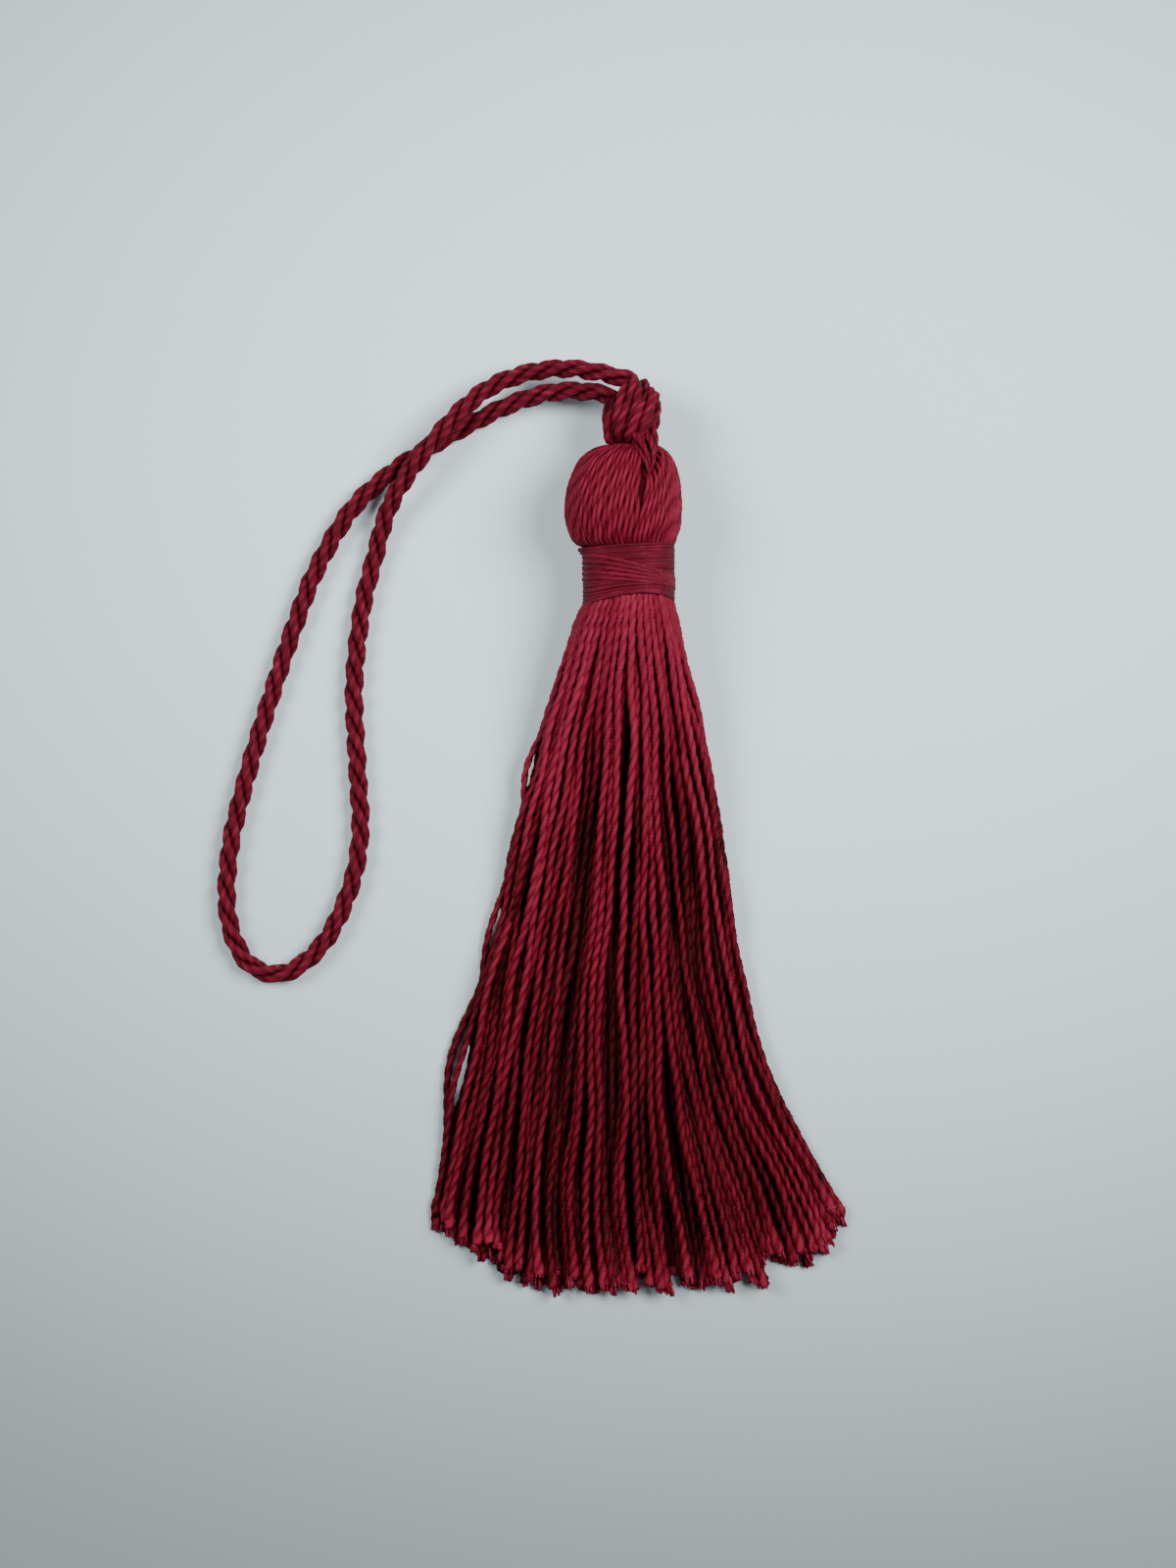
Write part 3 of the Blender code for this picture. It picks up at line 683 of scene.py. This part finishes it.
def makeSkirt():
    # Every thread is a two-ply yarn with a Z twist that opens a little at the cut end
    plan = skirtPlan
    chance = np.random.default_rng(29)
    stations, places = threadStations()
    count = len(stations)
    paths = curveAt(stations, places)
    travel = travelOf(paths)
    sink, flared, loose = layThreads(paths, travel, chance)
    widths = plan["threadRadius"]
    radius = np.interp(places, np.arange(stations.shape[1]), widths[:1] + widths)
    radius = radius * chance.uniform(*plan["radiusSpread"], (count, 1))
    left = travel[:, -1:] - travel
    opening = smoothStep(1 - left / chance.uniform(*plan["openOver"], (count, 1)))
    paths[:, :, 2] = np.maximum(paths[:, :, 2], 1.02 * radius)
    lay = plan["lay"] * chance.uniform(*plan["laySpread"], (count, 1))
    turn = 2 * math.pi * travel / lay + chance.uniform(0, 2 * math.pi, (count, 1))
    tone = np.clip(skirtLight["tone"] + chance.normal(0, skirtLight["toneSpread"], count), 0.3, 1.0)
    frames = pathFrames(paths)
    points, fibre, shade = pliedYarn(
        paths, frames, radius, turn, chance,
        1 + plan["tipWidening"] * opening, 1 - plan["tipFlattening"] * opening,
    )
    # The cut runs a little askew across each end
    corners = points.shape[3]
    slope = chance.uniform(0, 2 * math.pi, (count, 1, 1))
    askew = plan["askewCut"] * np.cos(2 * math.pi * np.arange(corners) / corners + slope)
    points[:, :, -1] += frames[0][:, None, -1, None] * askew[..., None]
    points[..., 2] = np.maximum(points[..., 2], plan["skinOffFloor"])
    tones = skirtTones(paths, left, tone, shade, sink, flared, loose)
    # The pieces divide the threads from left to right, as they lie half way down
    halfWay = stations.shape[1] // 2
    order = np.argsort(stations[:, halfWay, 0], kind="stable")
    for number, members in enumerate(np.array_split(order, plan["pieces"]), 1):
        placeTubes(
            "skirt_threads_%d" % number, points[members], fibre[members], tones[members],
            skirtFloss, "yarn_bundle",
        )
    return paths, tone


skirtPaths, skirtTone = makeSkirt()


# Cut ends: a brush of fine filaments at each thread's end, cut off nearly level
frayPlan = {
    "each": 9, "radius": 0.13, "tipTaper": 0.85, "rings": 4, "sides": 4, "lay": 5.0, "along": 0.08,
    "buried": 0.6, "across": 0.36, "height": 0.22, "spread": 0.06, "offFloor": 0.005,
    "showing": (0.05, 0.75), "unevenness": 0.07, "tone": (-0.10, 0.16),
}


def hairTubes(paths, radius, chance):
    # Plain tubes whose corners wind round the path once for each lay
    _, across, third = pathFrames(paths)
    travel = travelOf(paths)
    ring = 2 * math.pi * np.arange(frayPlan["sides"]) / frayPlan["sides"]
    turn = (2 * math.pi * travel / frayPlan["lay"])[..., None] + ring
    points = paths[:, :, None] + radius[..., None, None] * (
        np.cos(turn)[..., None] * across[:, :, None] + np.sin(turn)[..., None] * third[:, :, None]
    )
    shift = chance.uniform(0, 50, (len(paths), 1, 1))
    flat = radius[..., None] * np.ones(len(ring))
    fibre = np.stack((
        flat * np.cos(ring) + shift, flat * np.sin(ring) + 0.5 * shift,
        frayPlan["along"] * travel[..., None] + np.zeros_like(flat),
    ), axis=-1)
    return points[:, None], fibre[:, None]


def makeFrayedEnds():
    plan = frayPlan
    chance = np.random.default_rng(41)
    each = plan["each"]
    ends = skirtPaths[:, -1]
    heading = ends - skirtPaths[:, -6]
    heading /= np.linalg.norm(heading, axis=1)[:, None]
    count = len(ends) * each
    way = np.repeat(heading, each, axis=0)
    spread = chance.normal(0, plan["spread"], (count, 3))
    start = np.repeat(ends, each, axis=0) - plan["buried"] * way
    start[:, 0] += chance.uniform(-plan["across"], plan["across"], count)
    start[:, 2] += chance.uniform(-plan["height"], plan["height"], count)
    showing = np.repeat(chance.uniform(*plan["showing"], len(ends)), each)
    length = plan["buried"] + showing + chance.normal(0, plan["unevenness"], count)
    share = np.linspace(0, 1, plan["rings"])[None, :, None]
    paths = start[:, None] + (way[:, None] * share + spread[:, None] * share**2) * length[:, None, None]
    paths[:, :, 2] = np.maximum(paths[:, :, 2], plan["radius"] + plan["offFloor"])
    radius = plan["radius"] * np.linspace(1.0, plan["tipTaper"], plan["rings"]) * np.ones((count, 1))
    points, fibre = hairTubes(paths, radius, chance)
    tone = np.repeat(skirtTone, each) + chance.uniform(*plan["tone"], count)
    placeTubes("cut_ends", points, fibre, tone, skirtFloss, "yarn_bundle")


makeFrayedEnds()


# Knot: the doubled cord tied above the head, in passes that follow the solid's raised ones
knotPlan = {
    "centre": (0.6, 9.0, 5.2), "core": (1.85, 2.7, 1.9), "reach": (3.0, 3.6, 3.3),
    "plyRadius": 0.43, "legPly": 0.42, "lay": -9.5, "step": 0.14, "sides": 15,
    "endSize": 0.7, "taperRun": 0.9, "legTaper": 0.78, "legPower": 1.6,
    "tone": 0.53, "toneSpread": 0.05, "toneLimit": 0.1, "grooveShade": 0.32,
    "deepShade": 0.38, "deepFrom": 0.72, "deepRun": 0.30,    # in shares of the knot's reach
    "coreRings": 20, "coreSides": 28, "poleGap": 0.02,
}
knotPasses = {
    "topBight": (
        (0.8, 11.0, 3.4), (1.05, 11.75, 4.5), (0.95, 11.75, 5.9), (0.35, 10.9, 7.0),
        (-0.30, 9.6, 7.35), (-0.95, 8.2, 7.0), (-1.25, 7.0, 6.1), (-1.20, 6.15, 5.4),
    ),
    "topBightRight": (
        (1.7, 11.0, 3.6), (1.75, 11.6, 4.8), (1.65, 11.2, 6.2), (1.15, 10.1, 7.3),
        (0.45, 8.9, 7.75), (-0.35, 7.6, 7.2), (-0.60, 6.75, 6.2), (-0.55, 6.15, 5.4),
    ),
    "diagonalUpper": (
        (2.2, 10.3, 4.0), (2.65, 10.75, 5.3), (2.60, 10.35, 6.5), (2.05, 9.4, 7.5),
        (1.20, 8.2, 7.9), (0.40, 7.2, 7.4), (0.15, 6.6, 6.3), (0.20, 6.15, 5.5),
    ),
    "diagonalLower": (
        (2.6, 9.6, 4.2), (2.80, 9.7, 5.6), (2.70, 9.0, 6.8), (2.15, 8.1, 7.4),
        (1.35, 7.15, 7.3), (1.0, 6.6, 6.4), (1.0, 6.15, 5.5),
    ),
    "rightSide": (
        (2.50, 9.5, 5.0), (2.70, 8.7, 5.9), (2.60, 7.7, 6.2), (2.20, 6.8, 5.8), (2.05, 6.15, 5.3),
    ),
    "leftSide": (
        (-0.4, 10.3, 5.4), (-0.95, 9.7, 6.0), (-1.20, 8.8, 6.0), (-1.20, 7.8, 5.7),
        (-1.15, 6.9, 5.1), (-1.15, 6.2, 4.8),
    ),
    "leftEdge": (
        (-0.9, 9.9, 4.6), (-1.25, 9.0, 4.8), (-1.20, 8.0, 4.6), (-0.95, 6.9, 4.5), (-0.6, 6.2, 4.6),
    ),
    "backUpper": ((-1.2, 9.5, 4.1), (-0.5, 10.0, 3.3), (0.8, 9.8, 3.1), (2.1, 9.2, 3.8)),
    "backLower": ((-1.2, 7.9, 4.1), (-0.4, 7.5, 3.3), (0.9, 7.8, 3.2), (2.1, 8.0, 4.2)),
    "underLeft": ((0.2, 7.6, 4.2), (0.1, 6.9, 4.5), (0.1, 6.2, 4.7)),
    "underRight": ((1.5, 7.6, 4.2), (1.5, 6.9, 4.5), (1.5, 6.2, 4.7)),
    "legLeft": (
        (0.9, 7.9, 6.0), (1.10, 7.1, 7.0), (1.45, 6.2, 7.8), (1.85, 5.1, 8.50),
        (2.20, 4.0, 8.95), (2.38, 3.1, 9.05), (2.42, 2.7, 8.9),
    ),
    "legRight": (
        (2.3, 7.9, 5.8), (2.50, 7.1, 6.6), (2.68, 6.2, 7.35), (2.72, 5.1, 8.00),
        (2.60, 4.0, 8.60), (2.48, 3.2, 8.75), (2.44, 2.9, 8.6),
    ),
}


def makeKnotPass(name, route, chance):
    # The passes taper toward both ends, and the legs down to their tips in the head
    plan = knotPlan
    isLeg = name.startswith("leg")
    path = evenCurve(route, plan["step"])
    travel = travelOf(path)
    if isLeg:
        taper = 1 - plan["legTaper"] * (travel / travel[-1]) ** plan["legPower"]
    else:
        left = np.minimum(travel, travel[-1] - travel)
        taper = plan["endSize"] + (1 - plan["endSize"]) * smoothStep(left / plan["taperRun"])
    points, fibre, shade = cordPlies(
        path, plan["lay"], plan["legPly"] if isLeg else plan["plyRadius"], plan["sides"],
        chance.uniform(0, 6), plan["grooveShade"], taper,
    )
    lighter = np.clip(chance.normal(0, plan["toneSpread"]), -plan["toneLimit"], plan["toneLimit"])
    if not isLeg:
        # Painted shade: skin that lies deep in the knot is darker
        out = np.linalg.norm((points - plan["centre"]) / plan["reach"], axis=-1)
        shade = shade - plan["deepShade"] * (1 - smoothStep((out - plan["deepFrom"]) / plan["deepRun"]))
    tone = plan["tone"] + lighter + shade
    placeTubes("knot_" + name, points, fibre, tone, cordFibre, "knot")


def makeKnot():
    plan = knotPlan
    chance = np.random.default_rng(17)
    for name, route in knotPasses.items():
        makeKnotPass(name, route, chance)
    # The core, dark inner floss as painted shade between the passes, is an ellipsoid: radii times the
    # sines and cosines of two angles
    rings, sides = plan["coreRings"], plan["coreSides"]
    polar, turn = np.meshgrid(
        np.linspace(plan["poleGap"], math.pi - plan["poleGap"], rings),
        np.linspace(0, 2 * math.pi, sides, endpoint=False), indexing="ij",
    )
    ball = np.stack((np.sin(polar) * np.cos(turn), np.cos(polar), np.sin(polar) * np.sin(turn)), axis=-1)
    points = np.array(plan["centre"]) + np.array(plan["core"]) * ball
    quads, caps = tubeFaces(1, rings, sides)
    placePiece(
        "knot_core", points.reshape(-1, 3), (quads[:, ::-1], caps[:, ::-1]),
        shadedInnerFloss, "knot",
    )


makeKnot()


# Head: folded yarns over a core drawn dark as painted shade
legPoints = np.vstack([evenCurve(knotPasses[name], 0.2) for name in ("legLeft", "legRight")])


def gapToLegs(points):
    # The distance from each point to the nearest place on the knot's legs
    return np.linalg.norm(points[:, :, None] - legPoints[None, None], axis=3).min(axis=2)


def headSurface(angles, shrink, places):
    # The head's surface at the given angles, read along curves through the rows: on each row the
    # axis plus the radii, less shrink, times cosine and sine, with a lean that grows with y
    y, wide, high, axisX, axisZ = np.array(headPlan["rows"]).T
    lean = headPlan["lean"] * (np.maximum(y, headPlan["leanFrom"]) - headPlan["leanFrom"])
    turned = angles[:, None] + lean
    x = axisX + (wide - shrink) * np.cos(turned)
    z = axisZ + (high - shrink) * np.sin(turned)
    return curveAt(np.stack((x, np.broadcast_to(y, x.shape), z), axis=-1), places)


def aroundAxis(reach, turn, y):
    # Points at a reach and a turn about the head's axis
    axisX, axisZ = headPlan["axis"]
    return np.stack((axisX + reach * np.cos(turn), y, axisZ + reach * np.sin(turn)), axis=-1)


def makeHeadYarns(places):
    plan = headPlan
    chance = np.random.default_rng(23)
    yarns = plan["yarns"]
    angles = 2 * math.pi * np.arange(yarns) / yarns + chance.normal(0, plan["scatter"], yarns)
    # Yarns beside the parting stand a little apart: a shift that dies away round the head
    away = (angles - plan["partAngle"] + math.pi) % (2 * math.pi) - math.pi
    shift = plan["partReach"] * np.sign(away) * np.exp(-np.abs(away) / plan["partWidth"])
    outer = headSurface(angles, 0.0, places)
    opened = headSurface(angles + shift, 0.0, places)
    outer += (opened - outer) * smoothStep((outer[..., 1:2] - plan["partFrom"]) / plan["partRun"])
    x, y, z = np.moveaxis(outer, -1, 0)
    axisX, axisZ = plan["axis"]
    turn = np.arctan2(z - axisZ, x - axisX)
    spread = np.linalg.norm(np.roll(outer, 1, axis=0) - np.roll(outer, -1, axis=0), axis=-1) / 2
    thick = np.clip(plan["thickShare"] * spread, *plan["thickRange"])
    reach = np.hypot(x - axisX, z - axisZ) + plan["relief"] - thick
    for _ in range(plan["cutRounds"]):
        gap = gapToLegs(aroundAxis(reach, turn, y))
        reach = np.where(gap < plan["legClear"], reach - plan["cutStep"], reach)
    reach = smoothAlong(reach, plan["cutSmoothing"])
    paths = aroundAxis(reach, turn, y)
    paths[..., 2] = np.maximum(paths[..., 2], thick + plan["yarnOffFloor"])
    along = pathFrames(paths)[0]
    across = np.cross(along, paths - aroundAxis(0, turn, y))
    across /= np.linalg.norm(across, axis=-1, keepdims=True)
    frames = (along, across, np.cross(along, across))
    lay = plan["lay"] * chance.uniform(*plan["laySpread"], (yarns, 1))
    twist = 2 * math.pi * travelOf(paths) / lay + chance.uniform(0, 2 * math.pi, (yarns, 1))
    points, fibre, shade = pliedYarn(
        paths, frames, thick, twist, chance, widen=plan["widen"], firm=plan["firm"],
    )
    # The yarns carry painted shade in their grooves and on their flanks
    tone = (plan["tone"] + chance.normal(0, plan["toneSpread"], yarns))[:, None, None, None]
    placeTubes("head_yarns", points, fibre, tone + shade, skirtFloss, "yarn_bundle")


def makeHeadCore(places):
    # The core, drawn dark as painted shade, closes the gaps between the yarns and fills the neck
    plan = headPlan
    sides = plan["coreSides"]
    axisX, axisZ = plan["axis"]
    core = headSurface(2 * math.pi * np.arange(sides) / sides, plan["corePull"], places)
    for _ in range(plan["cutRounds"]):
        pull = np.where(gapToLegs(core) < plan["coreClear"], plan["cutStep"], 0.0)[..., None]
        core = core + pull * ((axisX, 0, axisZ) - core * (1, 0, 1)) / plan["coreRadius"]
    neck = core[:, -1:] * (1, 0, 1) + (0, plan["neckEnd"], 0)
    middle = neck.mean(axis=0, keepdims=True) * (1, 0, 1)
    plug = middle + plan["plugShare"] * (neck - middle) * (1, 0, 1) + (0, plan["plugEnd"], 0)
    core = np.concatenate((core, neck, plug), axis=1).transpose(1, 0, 2)
    core[..., 2] = np.maximum(core[..., 2], plan["coreOffFloor"])
    quads, caps = tubeFaces(1, core.shape[0], sides)
    placePiece("head_core", core.reshape(-1, 3), (quads, caps), shadedInnerFloss, "yarn_bundle")


headPlaces = np.linspace(0, len(headPlan["rows"]) - 1, headPlan["rings"])
makeHeadYarns(headPlaces)
makeHeadCore(headPlaces)


# Neck wrap: one thread wound flat and tight, with a few later turns lying across the first
wrapPlan = {
    "top": -3.86, "end": -9.44, "axis": (0.52, 4.90), "radius": 4.38, "turns": 24,
    "threadWidth": 0.17, "threadHeight": 0.08, "steps": 90, "sides": 8,
    "topTilt": 0.24, "arch": 0.95, "archTurn": 0.35,
    # Size, pace and start of the winding's small waves: along the neck, outward and in tone
    "alongWaves": ((0.05, 0.31, 1.0), (0.04, 0.77, 2.0)),
    "outWaves": ((0.03, 0.613, 0.0), (0.02, 1.37, 1.0)),
    "toneWaves": ((0.05, 0.41, 4.0),),
    "bulge": 0.50, "bulgeShare": 0.14, "bulgePower": 6,
    "tone": 0.38, "edgeShade": 0.10, "paintedHighlight": 0.22, "highlightTurns": (2.30, 1.00), "highlightSpread": 0.36,
    # The fibre pattern: its lean, the angle where that turns, its scale along, its step each turn
    "strokeLean": 0.30, "strokeTurn": 1.3, "fibreAlong": 0.25, "turnShift": 2.3,
    "crossings": 5, "crossingTilts": (1.26, 0.315), "crossingTurn": 0.3, "crossingMiddle": -6.7,
    "crossingDrop": 1.8, "crossingLift": 0.10, "crossingTone": 0.58, "crossingWaves": ((0.05, 0.7, 0.0),),
    # The sleeve's section: share of the neck, radius
    "sleeve": ((0.02, 3.95), (0.02, 4.30), (0.35, 4.36), (0.7, 4.36), (0.98, 4.30), (0.98, 3.95)),
    "sleeveSides": 64, "sleeveTone": 0.2,
}


def wrapEdge(share, angle):
    # The winding's height for its share of the neck: tilted at the top, and arched over the
    # skirt at the bottom by the square of the angle's sine
    plan = wrapPlan
    arch = plan["arch"] * np.clip(np.sin(angle + plan["archTurn"]), 0, 1) ** 2
    return plan["top"] + (plan["end"] - plan["top"]) * share \
        + plan["topTilt"] * np.cos(angle) * (1 - share) + arch * share**2


def windThread(name, angle, y, radius, tone, width, height):
    # A flat thread wound round the neck: an oval of its half width and half height
    axisX, axisZ = wrapPlan["axis"]
    sides = wrapPlan["sides"]
    path = np.stack((axisX + radius * np.cos(angle), y, axisZ + radius * np.sin(angle)), axis=-1)
    along = np.gradient(path, axis=0)
    along /= np.linalg.norm(along, axis=1)[:, None]
    outward = np.stack((np.cos(angle), np.zeros_like(angle), np.sin(angle)), axis=-1)
    across = np.cross(outward, along)
    across /= np.linalg.norm(across, axis=1)[:, None]
    ring = 2 * math.pi * np.arange(sides) / sides
    points = path[:, None] + width * np.cos(ring)[None, :, None] * across[:, None] \
        + height * np.sin(ring)[None, :, None] * outward[:, None]
    travel = travelOf(path)
    turns = np.floor(angle / (2 * math.pi))
    # The filaments lean across each turn, one way on the left and the other on the right: the place
    # across grows with the distance from the underside along the turn
    fromUnder = np.abs((angle - wrapPlan["strokeTurn"]) % (2 * math.pi) - math.pi)
    leaning = width * np.cos(ring)[None] + wrapPlan["strokeLean"] * (radius * fromUnder)[:, None]
    fibre = np.stack((
        leaning + wrapPlan["turnShift"] * turns[:, None],
        np.broadcast_to(height * np.sin(ring), points.shape[:2]),
        np.broadcast_to(wrapPlan["fibreAlong"] * travel[:, None], points.shape[:2]),
    ), axis=-1)
    # Painted shade on the thread's sides and underside, below its upper face
    shade = tone[:, None] - wrapPlan["edgeShade"] * (1 - np.clip(np.sin(ring), 0, 1))[None] ** 2
    quads, caps = tubeFaces(1, len(path), sides)
    placePiece(
        name, points.reshape(-1, 3), (quads, caps), wrapFloss, "neck_wrap",
        fibre.reshape(-1, 3), np.clip(shade, 0, 1).ravel(),
    )


def waves(angle, parts):
    # A sum of waves: size * sin(angle * pace + start)
    return sum(size * np.sin(angle * pace + start) for size, pace, start in parts)


def makeWinding():
    plan = wrapPlan
    share = np.linspace(0, 1, plan["turns"] * plan["steps"])
    angle = 2 * math.pi * plan["turns"] * share
    y = wrapEdge(share, angle) + waves(angle, plan["alongWaves"])
    radius = plan["radius"] + waves(angle, plan["outWaves"])
    # The first turns stand out a little on the left
    leftward = np.clip(-np.cos(angle), 0, 1) ** plan["bulgePower"]
    radius = radius + plan["bulge"] * (1 - smoothStep(share / plan["bulgeShare"])) * leftward
    # Painted highlight: two bands round the neck are drawn lighter than the rest of the winding
    turned = angle % (2 * math.pi)
    paintedHighlight = sum(np.exp(-((turned - band) / plan["highlightSpread"]) ** 2) for band in plan["highlightTurns"])
    tone = plan["tone"] + plan["paintedHighlight"] * paintedHighlight + waves(angle, plan["toneWaves"])
    windThread("wrap_winding", angle, y, radius, tone, plan["threadWidth"], plan["threadHeight"])


def makeCrossing():
    # The last turns lie askew over the others, less and less tilted
    plan = wrapPlan
    share = np.linspace(0, 1, plan["crossings"] * plan["steps"])
    angle = 2 * math.pi * plan["crossings"] * share
    firstTilt, lastTilt = plan["crossingTilts"]
    tilt = firstTilt + (lastTilt - firstTilt) * share
    y = plan["crossingMiddle"] - tilt * np.cos(angle + plan["crossingTurn"]) \
        - plan["crossingDrop"] * (share - 0.5)
    radius = np.full(len(share), plan["radius"] + plan["crossingLift"])
    tone = plan["crossingTone"] + waves(angle, plan["crossingWaves"])
    windThread(
        "wrap_crossing", angle, y, radius, tone, 1.1 * plan["threadWidth"], 0.8 * plan["threadHeight"],
    )


def makeSleeve():
    # A sleeve under the turns, dark as painted shade, closes what shows between them
    plan = wrapPlan
    axisX, axisZ = plan["axis"]
    sides = plan["sleeveSides"]
    turn = 2 * math.pi * np.arange(sides) / sides
    rings = np.array([
        np.column_stack((
            axisX + reach * np.cos(turn), wrapEdge(share, turn), axisZ + reach * np.sin(turn),
        ))
        for share, reach in plan["sleeve"]
    ])
    quads, _ = tubeFaces(1, len(rings), sides)
    side = np.arange(sides)
    last = (len(rings) - 1) * sides
    closing = np.stack((last + side, last + (side + 1) % sides, (side + 1) % sides, side), axis=-1)
    placePiece(
        "wrap_sleeve", rings.reshape(-1, 3), (np.vstack((quads, closing)),), wrapFloss,
        "neck_wrap", tone=np.full(len(rings) * sides, plan["sleeveTone"]),
    )


makeWinding()
makeCrossing()
makeSleeve()


# Floor and light, in metres
stagePlan = {
    "size": 2.4, "middle": "cbdde1", "edge": "757b7e", "roughness": 0.7, "specular": 0.1,
    # The floor's painted pool of light: its lightest place, how the fade is drawn out sideways, and where
    # it starts and ends
    "lightest": (0.008, 0.002), "fadeShape": (0.75, 1.0, 1.0), "fadeFrom": 0.016, "fadeTo": 0.122,
    "airColour": "eaf0f4", "air": 0.17,
    # name, place, power in watts and width of each soft lamp
    "lamps": (
        ("right_softbox", (0.35, 0.10, 0.45), 6.1, 0.36),
        ("left_softbox", (-0.38, 0.14, 0.42), 3.8, 0.30),
    ),
    "aim": (0.0, -0.02, 0.0),
}


def hangLamp(name, data, place, aim):
    lamp = bpy.data.objects.new(name, data)
    lamp.location = place
    x, y, z = np.array(place) - np.array(aim)
    lamp.rotation_euler = (math.atan2(math.hypot(x, y), z), 0, math.atan2(x, -y))
    bpy.context.scene.collection.objects.link(lamp)


def makeStage():
    mesh = bpy.data.meshes.new("floor")
    half = stagePlan["size"] / 2
    corners = [(-half, -half, 0), (half, -half, 0), (half, half, 0), (-half, half, 0)]
    mesh.from_pydata(corners, [], [(0, 1, 2, 3)])
    floor = bpy.data.objects.new("floor", mesh)
    bpy.context.scene.collection.objects.link(floor)
    # Matt board with a painted pool of light: lightest in the middle and greyer toward its edges
    material, tree, surface = startMaterial("matt_board_painted_light_pool")
    place = addNode(tree, "ShaderNodeTexCoord")
    x, y = stagePlan["lightest"]
    fromMiddle = addNode(
        tree, "ShaderNodeMapping", {"Location": (-x, -y, 0.0), "Scale": stagePlan["fadeShape"]},
        {"Vector": place.outputs["Object"]},
    )
    reach = addNode(
        tree, "ShaderNodeVectorMath", {"operation": "LENGTH"}, {0: fromMiddle.outputs["Vector"]},
    )
    fade = addNode(
        tree, "ShaderNodeMapRange",
        {
            "interpolation_type": "SMOOTHSTEP",
            "From Min": stagePlan["fadeFrom"], "From Max": stagePlan["fadeTo"],
        },
        {"Value": reach.outputs["Value"]},
    )
    ramp = addNode(tree, "ShaderNodeValToRGB", {}, {"Fac": fade.outputs["Result"]})
    ramp.color_ramp.elements[0].color = linear(stagePlan["middle"])
    ramp.color_ramp.elements[1].color = linear(stagePlan["edge"])
    tree.links.new(ramp.outputs["Color"], surface.inputs["Base Color"])
    surface.inputs["Roughness"].default_value = stagePlan["roughness"]
    surface.inputs["Specular IOR Level"].default_value = stagePlan["specular"]
    mesh.materials.append(material)

    for name, place, power, width in stagePlan["lamps"]:
        data = bpy.data.lights.new(name, "AREA")
        data.shape = "DISK"
        data.energy = power
        data.size = width
        hangLamp(name, data, place, stagePlan["aim"])
    world = bpy.data.worlds.new("soft_room")
    world.use_nodes = True
    air = world.node_tree.nodes["Background"]
    air.inputs["Color"].default_value = linear(stagePlan["airColour"])
    air.inputs["Strength"].default_value = stagePlan["air"]
    bpy.context.scene.world = world


makeStage()
print("floor and light set")
